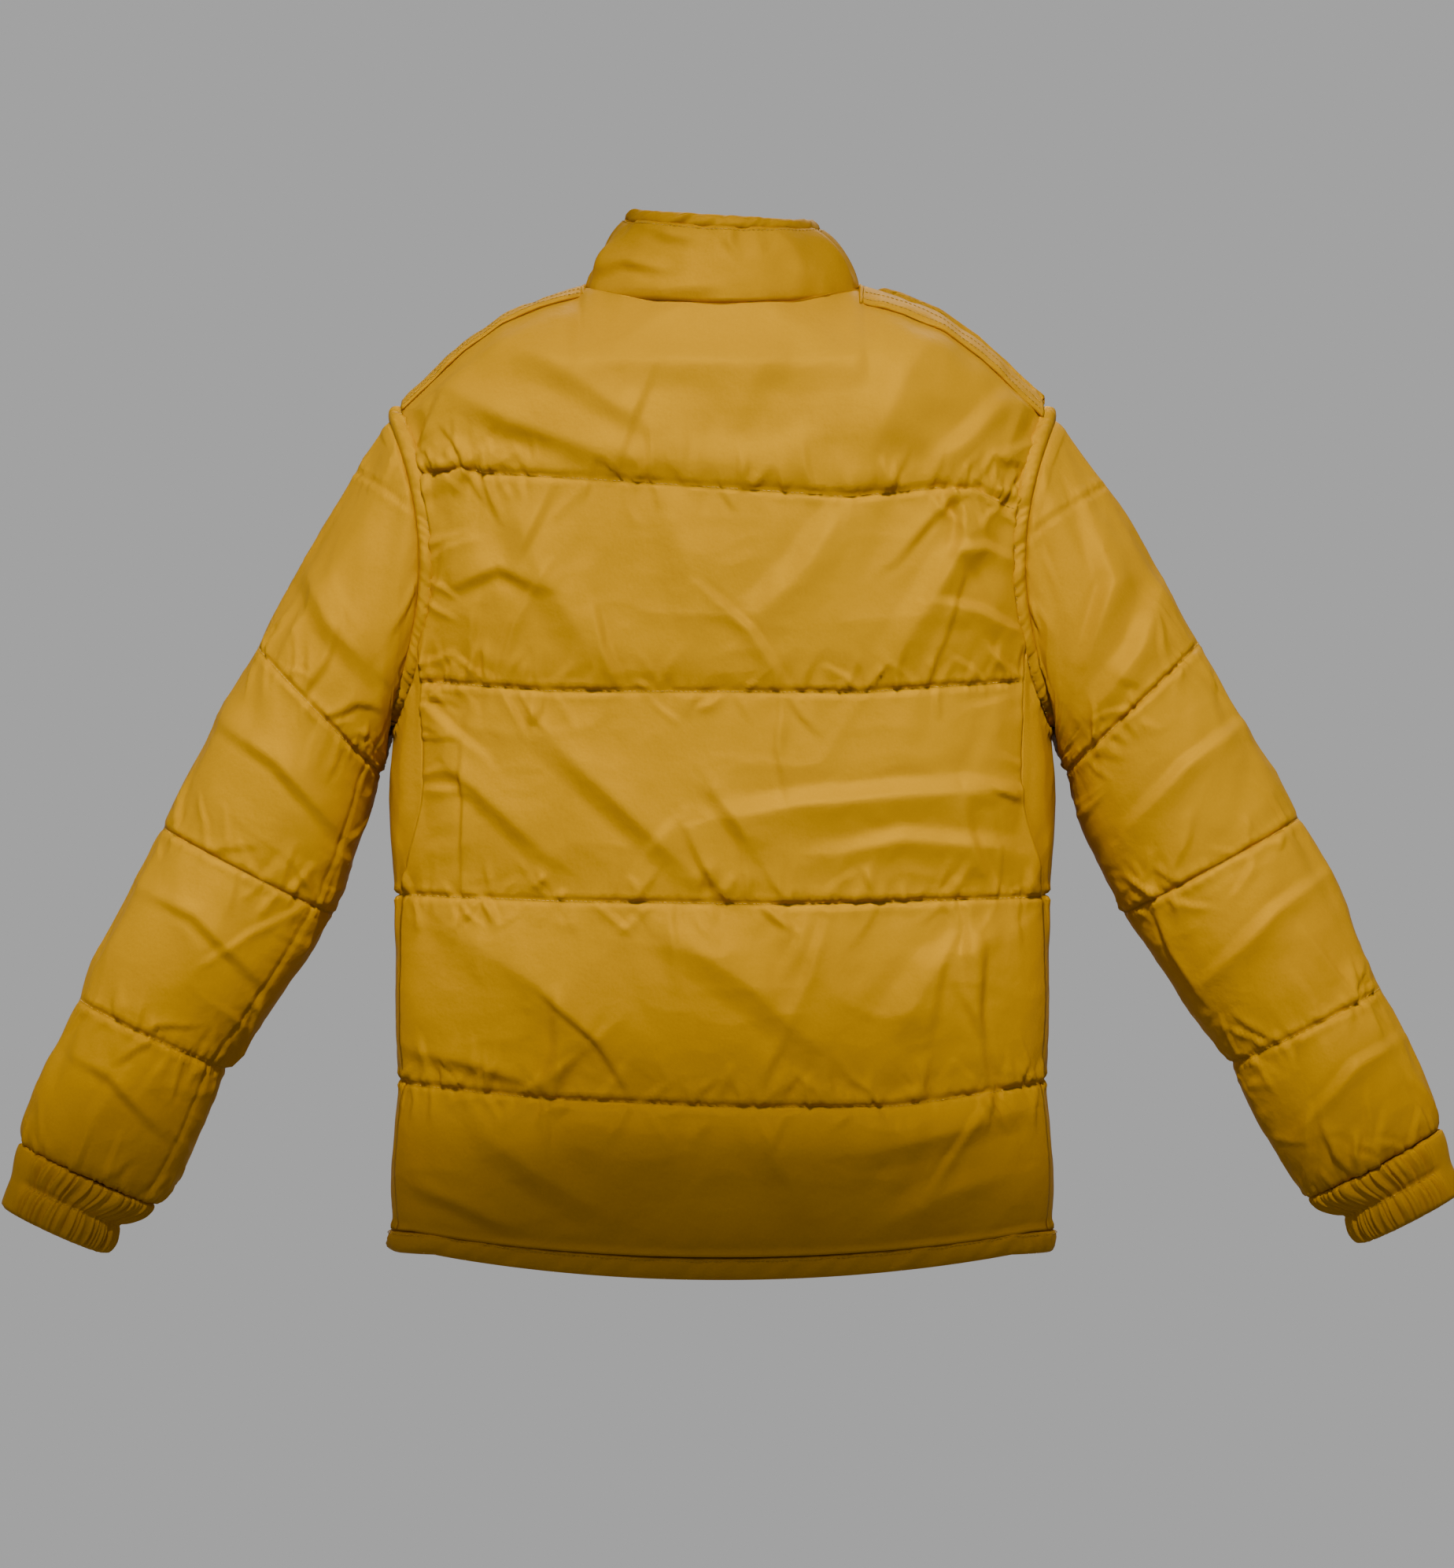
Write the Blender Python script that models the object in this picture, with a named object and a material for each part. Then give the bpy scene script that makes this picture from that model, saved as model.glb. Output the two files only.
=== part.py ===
"""Quilted padded jacket, hanging open-fronted and edge to edge from its neck loop.

Metres, +Z up. The wearer faces -Y, so the back of the jacket faces +Y and the wearer's left is +X.
The origin is the hook point under the hanger loop, inside the centre back of the neck.
Every padded panel is a shell, a padding and a lining, laid one inside the other.
"""
import math
import bmesh
import bpy
import numpy as np
from mathutils import Vector

# ---- driving dimensions -------------------------------------------------------------------------
DEPTH_MID = -0.038          # y of the middle of the jacket's depth, behind which is the back
HALF_WIDTH = ((-0.71, -0.58, -0.47, -0.38, -0.29, -0.20, 0.05), (0.243, 0.2365, 0.2355, 0.238, 0.240, 0.244, 0.250))
BACK_DEPTH = ((-0.71, -0.55, -0.40, -0.25, -0.12, 0.05), (0.074, 0.076, 0.080, 0.086, 0.086, 0.080))
FRONT_DEPTH = 0.084         # the zip runs straight down, so the front is one depth
ROUNDNESS = 2.6             # superellipse power of the body's cross section
SHOULDER_LINE = ((0.0, 0.050, 0.098, 0.130, 0.159, 0.187, 0.237), (0.0, 0.002, 0.014, 0.005, -0.007, -0.027, -0.074))
FRONT_NECK_DROP = 0.074     # centre front of the neck seam below the centre back
NECK_HALF_WIDTH = 0.100
NECK_BACK = 0.058
NECK_FRONT = 0.080
SHOULDER_ROUND = 0.090      # height over which back and front curve in to the shoulder seam
HEM_Z = -0.7015
HEM_RISE = 0.022
HEM_BAND = 0.017

ARMHOLE_MID_Z = -0.187
ARMHOLE_HALF = 0.113
ARMHOLE_TOP_X = 0.2365
ARMHOLE_LOW_X = 0.2395
ARMHOLE_BACK_X = 0.212
ARMHOLE_FRONT_X = 0.2005
ARMHOLE_CLEAR = 0.0066      # from the middle of the armhole seam to the padded panels
SIDE_SEAM_BACK = 0.900      # side seams, as a share of the half width
SIDE_SEAM_FRONT = 0.868
FRONT_EDGE_X = 0.0165       # the padded front ends here, and the zip tape starts

GAP = 0.0004
SHELL = (0.0, -0.0008)
PADDING = (-0.0012, -0.0104)
POCKET_LAYER = (-0.0108, -0.0115)
LINING = (-0.0119, -0.0127)

# outer and inner points of the quilting rings of a sleeve, x and z, then half the depth
SLEEVE_LEFT = (
    ((0.3390, -0.2450), (0.2465, -0.3380), 0.058),
    ((0.4074, -0.3760), (0.2817, -0.4406), 0.055),
    ((0.4686, -0.5006), (0.3590, -0.5530), 0.048),
    ((0.5143, -0.6034), (0.4074, -0.6530), 0.041),
)
SLEEVE_RIGHT = (
    ((0.3480, -0.2410), (0.2470, -0.3370), 0.058),
    ((0.4200, -0.3690), (0.2900, -0.4400), 0.055),
    ((0.4800, -0.4920), (0.3700, -0.5480), 0.048),
    ((0.5260, -0.5930), (0.4210, -0.6480), 0.041),
)
RING_COUNT = 20             # points round an armhole and round a sleeve
CUFF_LENGTH = 0.048
CUFF_END_HALF = 0.040
CUFF_END_DEPTH = 0.031

COLLAR_HEIGHT = 0.066
COLLAR_LEAN = 0.022
COLLAR_BAND = 0.009
COLLAR_END = 176.0          # degrees from centre back to each front end

CHAIN_X = (0.0012, 0.0042)
CHAIN_HALF_THICK = 0.0012
CHAIN_Y = DEPTH_MID - FRONT_DEPTH + 0.004
CHAIN_TOP = -0.084
CHAIN_LOW = -0.6985
PIN_LOW = -0.6640           # lower end of the wearer's right-hand chain, just above the slider
SLIDER_LOW = -0.6785
SLIDER_LENGTH = 0.0120
POCKET_TOP = (0.1060, -0.4350)
POCKET_LOW = (0.1460, -0.5750)

COLOURS = {
    "shell": ((0.52, 0.30, 0.035, 1.0), 0.42, 0.0),
    "padding": ((0.80, 0.79, 0.76, 1.0), 0.95, 0.0),
    "lining": ((0.045, 0.040, 0.036, 1.0), 0.55, 0.0),
    "elastic": ((0.30, 0.19, 0.05, 1.0), 0.80, 0.0),
    "zip_tape": ((0.36, 0.21, 0.03, 1.0), 0.75, 0.0),
    "zip_teeth": ((0.34, 0.20, 0.03, 1.0), 0.45, 0.0),
    "zip_metal": ((0.16, 0.12, 0.07, 1.0), 0.35, 0.9),
}
MATERIALS = {}


def clear_scene():
    for obj in list(bpy.data.objects):
        bpy.data.objects.remove(obj, do_unlink=True)


def material_for(node, kind):
    colour, rough, metal = COLOURS[kind]
    mat = bpy.data.materials.new(node)
    mat.use_nodes = True
    shader = mat.node_tree.nodes["Principled BSDF"]
    shader.inputs["Base Color"].default_value = colour
    shader.inputs["Roughness"].default_value = rough
    shader.inputs["Metallic"].default_value = metal
    mat.diffuse_color = colour
    return mat


def add_object(node, kind, verts, faces, pivot=(0.0, 0.0, 0.0), smooth=True):
    """One closed body whose origin is its joint's pivot."""
    mesh = bpy.data.meshes.new(node)
    base = Vector(pivot)
    mesh.from_pydata([tuple(Vector(v) - base) for v in verts], [], faces)
    work = bmesh.new()
    work.from_mesh(mesh)
    bmesh.ops.remove_doubles(work, verts=work.verts, dist=1e-6)
    bmesh.ops.triangulate(work, faces=work.faces)
    bmesh.ops.recalc_face_normals(work, faces=work.faces)
    if work.calc_volume(signed=True) < 0:
        bmesh.ops.reverse_faces(work, faces=work.faces)
    work.to_mesh(mesh)
    work.free()
    for poly in mesh.polygons:
        poly.use_smooth = smooth
    obj = bpy.data.objects.new(node, mesh)
    obj.location = base
    bpy.context.scene.collection.objects.link(obj)
    obj.data.materials.append(material_for(node, kind))
    return obj


# ---- layers over a grid of points ---------------------------------------------------------------
def grid_normals(points, closed, toward):
    """Unit normals of a rows x columns x 3 grid, pointing away from the 'toward' point of each row."""
    rows = points.shape[0]
    cols = points.shape[1]
    normals = np.zeros_like(points)
    for i in range(rows):
        up = points[min(i + 1, rows - 1)] - points[max(i - 1, 0)]
        for j in range(cols):
            if closed:
                side = points[i][(j + 1) % cols] - points[i][(j - 1) % cols]
            else:
                side = points[i][min(j + 1, cols - 1)] - points[i][max(j - 1, 0)]
            n = np.cross(up[j], side)
            n = n / max(np.linalg.norm(n), 1e-9)
            if np.dot(n, points[i][j] - toward[i]) < 0:
                n = -n
            normals[i][j] = n
    return normals


def layer(node, kind, points, normals, span, closed=False, pivot=(0.0, 0.0, 0.0)):
    """A closed skin between two offsets of one grid."""
    rows = points.shape[0]
    cols = points.shape[1]
    outer = points + normals * span[0]
    inner = points + normals * span[1]
    verts = [tuple(p) for p in outer.reshape(-1, 3)] + [tuple(p) for p in inner.reshape(-1, 3)]
    half = rows * cols
    faces = []
    wrap = cols if closed else cols - 1
    for i in range(rows - 1):
        for j in range(wrap):
            a = i * cols + j
            b = i * cols + (j + 1) % cols
            c = (i + 1) * cols + (j + 1) % cols
            d = (i + 1) * cols + j
            faces.append((a, b, c, d))
            faces.append((half + d, half + c, half + b, half + a))
    for j in range(wrap):
        k = (j + 1) % cols
        faces.append((k, j, half + j, half + k))
        top = (rows - 1) * cols
        faces.append((top + j, top + k, half + top + k, half + top + j))
    if not closed:
        for i in range(rows - 1):
            a = i * cols
            d = (i + 1) * cols
            faces.append((a, d, half + d, half + a))
            faces.append((d + cols - 1, a + cols - 1, half + a + cols - 1, half + d + cols - 1))
    return add_object(node, kind, verts, faces, pivot)


def box_body(node, kind, centre, axes, halves, pivot=(0.0, 0.0, 0.0)):
    """A box along three given unit axes."""
    c = Vector(centre)
    verts = []
    for sx in (-1, 1):
        for sy in (-1, 1):
            for sz in (-1, 1):
                verts.append(c + Vector(axes[0]) * halves[0] * sx + Vector(axes[1]) * halves[1] * sy
                             + Vector(axes[2]) * halves[2] * sz)
    faces = [(0, 1, 3, 2), (4, 6, 7, 5), (0, 4, 5, 1), (2, 3, 7, 6), (0, 2, 6, 4), (1, 5, 7, 3)]
    return add_object(node, kind, verts, faces, pivot, smooth=False)


def prism(node, kind, profile, origin, axes, length, pivot):
    """A profile in the first two axes, run out along the third."""
    o = Vector(origin)
    n = len(profile)
    verts = []
    for end in (0.0, length):
        for a, b in profile:
            verts.append(o + Vector(axes[0]) * a + Vector(axes[1]) * b + Vector(axes[2]) * end)
    faces = [tuple(range(n)), tuple(range(2 * n - 1, n - 1, -1))]
    for i in range(n):
        j = (i + 1) % n
        faces.append((i, n + i, n + j, j))
    return add_object(node, kind, verts, faces, pivot, smooth=False)


# ---- the body's surface -------------------------------------------------------------------------
def half_width(z):
    return float(np.interp(z, *HALF_WIDTH))


def body_depth(z, back):
    return float(np.interp(z, *BACK_DEPTH)) if back else FRONT_DEPTH


def seam_top(x, back):
    """Height of the shoulder and neck seams above a given distance from the middle."""
    z = float(np.interp(abs(x), *SHOULDER_LINE))
    if not back and abs(x) < NECK_HALF_WIDTH:
        share = math.sqrt(max(0.0, 1.0 - (abs(x) / NECK_HALF_WIDTH) ** 2))
        z = 0.014 - (FRONT_NECK_DROP + 0.014) * share
    return z


def seam_y(x, back):
    """Distance in front of or behind the middle of the shoulder and neck seams."""
    reach = NECK_BACK if back else NECK_FRONT
    if abs(x) < NECK_HALF_WIDTH:
        return max(reach * math.sqrt(1.0 - (x / NECK_HALF_WIDTH) ** 2), 0.0012)
    return 0.0012


def body_point(x, z, top_x, back):
    """Point of the outer surface, given where its column meets the shoulder or neck seam."""
    a = half_width(z)
    share = min(abs(x) / a, 1.0)
    deep = body_depth(z, back) * (1.0 - share ** ROUNDNESS) ** (1.0 / ROUNDNESS)
    drop = max(seam_top(top_x, back) - z, 0.0)
    turn = min(drop / SHOULDER_ROUND, 1.0)
    round_rise = math.sqrt(1.0 - (1.0 - turn) ** 2)
    neck_rise = math.sin(turn * math.pi / 2.0)
    blend = min(max((abs(top_x) - 0.085) / 0.030, 0.0), 1.0)
    rise = neck_rise + (round_rise - neck_rise) * blend
    start = seam_y(top_x, back)
    depth = start + (deep - start) * rise
    return np.array([x, DEPTH_MID + depth * (1.0 if back else -1.0), z])


def armhole_point(angle, side):
    """Point of the armhole seam: 0 is the shoulder, 90 the back, 180 the underarm, 270 the front."""
    c = math.cos(math.radians(angle))
    s = math.sin(math.radians(angle))
    back = s >= 0
    end_x = ARMHOLE_TOP_X if c > 0 else ARMHOLE_LOW_X
    mid_x = ARMHOLE_BACK_X if back else ARMHOLE_FRONT_X
    x = mid_x + (end_x - mid_x) * c * c
    z = ARMHOLE_MID_Z + ARMHOLE_HALF * c
    p = body_point(x, z, x, back)
    if abs(s) < 1e-6:
        p[1] = DEPTH_MID
    return np.array([p[0] * side, p[1], p[2]])


def edge_x(z, back):
    """Half width of a back or front panel at one height: armhole above, side seam below."""
    angles = np.linspace(0.0, 180.0, 61)
    pts = [armhole_point(v if back else 360.0 - v, 1.0) for v in angles]
    zs = np.array([p[2] for p in pts])[::-1]
    xs = np.array([p[0] for p in pts])[::-1]
    hole = float(np.interp(z, zs, xs)) - ARMHOLE_CLEAR
    seam = half_width(z) * (SIDE_SEAM_BACK if back else SIDE_SEAM_FRONT) - GAP
    low = side_corner(back)
    return hole if z > low else min(seam, hole)


def side_corner(back):
    """Height at which the side seam meets the armhole."""
    share = SIDE_SEAM_BACK if back else SIDE_SEAM_FRONT
    mid_x = ARMHOLE_BACK_X if back else ARMHOLE_FRONT_X
    x = share * half_width(-0.24)
    c = math.sqrt(min(max((x - mid_x) / (ARMHOLE_LOW_X - mid_x), 0.0), 1.0))
    return ARMHOLE_MID_Z - ARMHOLE_HALF * c


def hem_z(x):
    return HEM_Z + HEM_RISE * (min(abs(x), 0.21) / 0.24) ** 2


def section_normal(p, back):
    """Outward normal of the body's cross section at a point of it."""
    power = ROUNDNESS - 1.0
    nx = math.copysign(abs(p[0]) ** power, p[0]) / half_width(p[2]) ** ROUNDNESS
    dy = p[1] - DEPTH_MID
    ny = math.copysign(abs(dy) ** power, dy) / body_depth(p[2], back) ** ROUNDNESS
    return np.array([nx, ny, 0.0]) / math.hypot(nx, ny)


def panel_grid(columns, back, side=1.0):
    """Grid of a back or front panel from above the hem band up to the seams."""
    drops = (SHOULDER_ROUND, 0.060, 0.034, 0.014, 0.0035, 0.0)
    low_rows = 6
    rows = []
    top_half = edge_x(-0.078, back)
    corner = side_corner(back)
    for i in range(low_rows + len(drops)):
        row = []
        for s in columns:
            top_x = s * top_half
            z1 = seam_top(top_x, back) - 0.0006
            z0 = hem_z(s * edge_x(HEM_Z + 0.04, back)) + HEM_BAND + GAP
            if i < 4:
                z = z0 + (corner - 0.026 - z0) * i / 3.0
            elif i < low_rows:
                z = corner + 0.002 + (z1 - SHOULDER_ROUND - corner - 0.002) * (i - 4) / 2.0
            else:
                z = z1 - drops[i - low_rows]
            x = s * edge_x(z, back)
            row.append(body_point(x, z, top_x, back))
        rows.append(row)
    pts = np.array(rows)
    pts[:, :, 0] *= side
    toward = [np.array([0.0, DEPTH_MID, -0.30])] * len(rows)
    nor = grid_normals(pts, False, toward)
    for i in range(low_rows):
        for j in range(len(columns)):
            nor[i][j] = section_normal(pts[i][j], back)
    return pts, nor


def back_columns():
    return [math.sin(math.radians(v)) for v in np.linspace(-90.0, 90.0, 13)]


def front_columns():
    first = FRONT_EDGE_X / 0.205
    return [first + (1.0 - first) * v for v in (0.0, 0.17, 0.34, 0.51, 0.66, 0.79, 0.90, 1.0)]


def fix_front_edge(pts, side):
    """The front edge beside the zip runs straight down."""
    pts[:, 0, 0] = FRONT_EDGE_X * side
    return pts


# ---- torso --------------------------------------------------------------------------------------
def build_back():
    pts, nor = panel_grid(back_columns(), True)
    layer("back_shell", "shell", pts, nor, SHELL)
    layer("back_padding", "padding", pts, nor, PADDING)
    layer("back_lining", "lining", pts, nor, LINING)


def side_grid(side):
    """Side panel between the two side seams, up to the underarm."""
    share_b = SIDE_SEAM_BACK + 0.0035
    share_f = SIDE_SEAM_FRONT + 0.0035
    turn_b = math.degrees(math.asin(share_b ** (ROUNDNESS / 2.0)))
    turn_f = 180.0 - math.degrees(math.asin(share_f ** (ROUNDNESS / 2.0)))
    rows = 5
    grid = []
    for i in range(rows + 1):
        row = []
        for t in np.linspace(turn_b, turn_f, 7):
            s = math.sin(math.radians(t)) ** (2.0 / ROUNDNESS)
            c = math.cos(math.radians(t))
            back = c >= 0
            mid_x = ARMHOLE_BACK_X if back else ARMHOLE_FRONT_X
            reach = min(max((s * 0.2395 + 0.006 - mid_x) / (ARMHOLE_LOW_X - mid_x), 0.0), 1.0)
            z1 = ARMHOLE_MID_Z - ARMHOLE_HALF * math.sqrt(reach) - 0.0035
            z0 = hem_z(0.215) + HEM_BAND + GAP
            z = z0 + (z1 - z0) * i / rows
            depth = body_depth(z, back) * abs(c) ** (2.0 / ROUNDNESS)
            row.append((side * half_width(z) * s, DEPTH_MID + (depth if back else -depth), z))
        grid.append(row)
    pts = np.array(grid)
    nor = np.array([[section_normal(p, p[1] >= DEPTH_MID) for p in row] for row in pts])
    return pts, nor


def build_sides():
    for name, side in (("left", 1.0), ("right", -1.0)):
        pts, nor = side_grid(side)
        layer("side_panel_" + name, "shell", pts, nor, SHELL)
        layer("side_padding_" + name, "padding", pts, nor, PADDING)
        layer("side_lining_" + name, "lining", pts, nor, LINING)


def build_shoulder_strips():
    """Folded and topstitched shoulder seams, lying over the joint of back and front."""
    for name, side in (("left", 1.0), ("right", -1.0)):
        rows = []
        for x in np.linspace(0.104, 0.2285, 8):
            row = []
            for drop, back in ((0.0022, True), (0.0006, True), (0.0, None), (0.0006, False), (0.0022, False)):
                if back is None:
                    p = np.array([x, DEPTH_MID, seam_top(x, True)])
                else:
                    p = body_point(x, seam_top(x, back) - drop, x, back)
                row.append((p[0] * side, p[1], p[2]))
            rows.append(row)
        pts = np.array(rows)
        toward = [np.array([0.0, DEPTH_MID, -0.30])] * len(rows)
        nor = grid_normals(pts, False, toward)
        layer("shoulder_strip_" + name, "shell", pts, nor, (0.0044, 0.0026))


def build_armhole_bands():
    """Topstitched seam rings between the body and the sleeves."""
    count = RING_COUNT
    for name, side in (("left", 1.0), ("right", -1.0)):
        centre = np.array([side * 0.22, DEPTH_MID, ARMHOLE_MID_Z])
        rings = []
        for k in range(count):
            p = armhole_point(360.0 * k / count, side)
            out = p - centre
            out[0] = 0.0
            out = out / np.linalg.norm(out)
            ring = []
            for across, high in ((-0.004, 0.0008), (0.004, 0.0008), (0.004, -0.0115), (-0.004, -0.0115)):
                ring.append(p + out * high + np.array([across, 0.0, 0.0]))
            rings.append(ring)
        verts = [tuple(v) for ring in rings for v in ring]
        faces = []
        for k in range(count):
            for m in range(4):
                a = 4 * k + m
                b = 4 * k + (m + 1) % 4
                c = 4 * ((k + 1) % count) + (m + 1) % 4
                d = 4 * ((k + 1) % count) + m
                faces.append((a, b, c, d))
        add_object("armhole_band_" + name, "shell", verts, faces)


def collar_grid(low, high, lift):
    """Grid round the collar between two shares of its height."""
    rows = []
    for h in np.linspace(low, high, 3):
        row = []
        for t in np.linspace(-COLLAR_END, COLLAR_END, 25):
            c = math.cos(math.radians(t))
            s = math.sin(math.radians(t))
            lean = COLLAR_LEAN * h
            reach = (NECK_BACK - lean * 0.5) if c >= 0 else (NECK_FRONT - lean * 0.3)
            x = (NECK_HALF_WIDTH - lean) * s
            y = DEPTH_MID + reach * c
            if c >= 0:
                z = lift + 0.014 * (1.0 - c)
            else:
                z = lift + 0.014 - (FRONT_NECK_DROP + 0.014) * (-c) ** 1.15
            row.append((x, y, z + h * (COLLAR_HEIGHT - 0.004 * (1.0 - c))))
        rows.append(row)
    pts = np.array(rows)
    turns = np.radians(np.linspace(-COLLAR_END, COLLAR_END, 25))
    reach = np.where(np.cos(turns) >= 0, NECK_BACK, NECK_FRONT)
    flat = np.stack([np.sin(turns) / NECK_HALF_WIDTH, np.cos(turns) / reach, np.zeros(25)], axis=1)
    flat = flat / np.linalg.norm(flat, axis=1, keepdims=True)
    return pts, np.array([flat] * len(rows))


def build_collar():
    """The stand collar stands just above the neck seam."""
    share = 1.0 - COLLAR_BAND / COLLAR_HEIGHT
    lift = 0.0028
    pts, nor = collar_grid(0.0, share - 0.040, lift)
    layer("collar_outer", "shell", pts, nor, SHELL)
    layer("collar_padding", "padding", pts, nor, PADDING)
    layer("collar_inner", "shell", pts, nor, LINING)
    pts, nor = collar_grid(share, 1.0, lift)
    layer("collar_top_band", "shell", pts, nor, (0.0006, -0.0132))


def hem_grid(turns, side_sign=1.0):
    rows = []
    for h in (0.0, 1.0):
        row = []
        for t in turns:
            s = math.sin(math.radians(t))
            c = math.cos(math.radians(t))
            x_share = math.copysign(abs(s) ** (2.0 / ROUNDNESS), s)
            back = c >= 0
            x = 0.2425 * x_share
            z = hem_z(x) + HEM_BAND * h
            depth = body_depth(z, back) * abs(c) ** (2.0 / ROUNDNESS)
            row.append((side_sign * x, DEPTH_MID + (depth if back else -depth), z))
        rows.append(row)
    pts = np.array(rows)
    nor = np.array([[section_normal(p, p[1] >= DEPTH_MID) for p in row] for row in pts])
    return pts, nor


def seam_turn(share):
    return math.degrees(math.asin(share ** (ROUNDNESS / 2.0)))


def build_back_hem():
    last = 180.0 - seam_turn(SIDE_SEAM_FRONT + 0.0035)
    pts, nor = hem_grid(np.linspace(-last, last, 23))
    layer("hem_band_back", "shell", pts, nor, (0.0006, -0.0128))


def build_hanger_loop():
    """Flat tape sewn inside the back neck in an arch, hook point under its crown."""
    span = 0.024
    foot_z = -0.022
    foot_y = 0.0088
    verts = []
    count = 11
    for k in range(count):
        t = math.pi * k / (count - 1)
        up = math.sin(t) ** 0.6
        p = Vector((span * math.cos(t), foot_y * (1.0 - up) ** 1.5, foot_z * (1.0 - up)))
        n = Vector((math.cos(t), 0.0, 0.35 + math.sin(t))).normalized()
        for y in (-0.0022, 0.0022):
            verts.append(p + Vector((0.0, y, 0.0)))
            verts.append(p + Vector((0.0, y, 0.0)) + n * 0.0012)
    faces = []
    for k in range(count - 1):
        a = 4 * k
        b = 4 * (k + 1)
        faces.append((a, a + 1, b + 1, b))
        faces.append((a + 1, a + 3, b + 3, b + 1))
        faces.append((a + 3, a + 2, b + 2, b + 3))
        faces.append((a + 2, a, b, b + 2))
    faces.append((0, 2, 3, 1))
    last = 4 * (count - 1)
    faces.append((last, last + 1, last + 3, last + 2))
    add_object("hanger_loop", "shell", verts, faces)


def build_neck_facing():
    """Short facing inside the back neck that carries the hanger loop."""
    pts, nor = panel_grid(back_columns(), True)
    layer("neck_facing", "shell", pts[8:11, 5:8], nor[8:11, 5:8], (-0.0131, -0.0139))


# ---- fronts -------------------------------------------------------------------------------------
def front_pivot(side):
    z = -0.45
    x = SIDE_SEAM_FRONT * half_width(z)
    share = SIDE_SEAM_FRONT
    y = DEPTH_MID - FRONT_DEPTH * (1.0 - share ** ROUNDNESS) ** (1.0 / ROUNDNESS)
    return (side * (x + 0.0035), y - 0.0060, z)


def build_fronts():
    for name, side in (("left", 1.0), ("right", -1.0)):
        pivot = front_pivot(side)
        pts, nor = panel_grid(front_columns(), False, side)
        pts = fix_front_edge(pts, side)
        layer("front_shell_" + name, "shell", pts, nor, SHELL, pivot=pivot)
        layer("front_padding_" + name, "padding", pts, nor, PADDING, pivot=pivot)
        layer("front_lining_" + name, "lining", pts, nor, LINING, pivot=pivot)
        first = 180.0 - math.degrees(math.asin((0.0062 / 0.2425) ** (ROUNDNESS / 2.0)))
        last = 180.0 - seam_turn(SIDE_SEAM_FRONT - 0.0035)
        hem_pts, hem_nor = hem_grid(np.linspace(last, first, 9), side)
        layer("hem_band_front_" + name, "shell", hem_pts, hem_nor, (0.0006, -0.0128), pivot=pivot)
        build_zip_side(name, side, pivot)
        build_pocket(name, side, pivot, pts, nor)


def build_zip_side(name, side, pivot):
    """Tape and tooth chain along one front edge."""
    low = CHAIN_LOW if side > 0 else PIN_LOW
    low_tape = hem_z(0.0) + HEM_BAND + 0.0012
    y = CHAIN_Y
    tape = [(0.0046, -0.0004), (FRONT_EDGE_X - GAP, -0.0004), (FRONT_EDGE_X - GAP, 0.0004), (0.0046, 0.0004)]
    profile = [(side * a, b) for a, b in tape]
    axes = ((1, 0, 0), (0, 1, 0), (0, 0, 1))
    prism("zip_tape_" + name, "zip_tape", profile, (0.0, y, low_tape), axes, CHAIN_TOP - low_tape, pivot)
    h = CHAIN_HALF_THICK
    bar = [(CHAIN_X[0], -h * 0.6), (CHAIN_X[0] + 0.0008, -h), (CHAIN_X[1] - 0.0008, -h), (CHAIN_X[1], -h * 0.6),
           (CHAIN_X[1], h * 0.6), (CHAIN_X[1] - 0.0008, h), (CHAIN_X[0] + 0.0008, h), (CHAIN_X[0], h * 0.6)]
    profile = [(side * a, b) for a, b in bar]
    prism("zip_teeth_" + name, "zip_teeth", profile, (0.0, y, low), axes, CHAIN_TOP - low, pivot)


def slider_profile(wide, inner, plate, web):
    """I-shaped section: two plates joined by a web between the chains."""
    out = inner + plate
    return [(-wide, -out), (wide, -out), (wide, -inner), (web, -inner), (web, inner), (wide, inner),
            (wide, out), (-wide, out), (-wide, inner), (-web, inner), (-web, -inner), (-wide, -inner)]


def build_main_slider():
    origin = (0.0, CHAIN_Y, SLIDER_LOW)
    axes = ((1, 0, 0), (0, 1, 0), (0, 0, 1))
    pivot = (0.0, CHAIN_Y, origin[2] + SLIDER_LENGTH * 0.5)
    prism("main_zip_slider", "zip_metal", slider_profile(0.0045, 0.0016, 0.0010, 0.0007), origin, axes,
          SLIDER_LENGTH, pivot)
    lug = (0.0, CHAIN_Y - 0.0042, origin[2] + SLIDER_LENGTH - 0.0020)
    tab = [(-0.0030, 0.0), (0.0030, 0.0), (0.0040, -0.0230), (0.0025, -0.0270), (-0.0025, -0.0270), (-0.0040, -0.0230)]
    prism("main_zip_pull", "zip_metal", tab, (0.0, lug[1] + 0.0007, lug[2]), ((1, 0, 0), (0, 0, 1), (0, -1, 0)),
          0.0014, lug)


def surface_at(x, z, side):
    p = body_point(x, z, x * 0.3, False)
    q = body_point(x + 0.002, z, x * 0.3, False)
    along = (q - p) / np.linalg.norm(q - p)
    n = np.array([along[1], -along[0], 0.0])
    if n[1] > 0:
        n = -n
    return np.array([p[0] * side, p[1], p[2]]), np.array([n[0] * side, n[1], 0.0])


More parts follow.
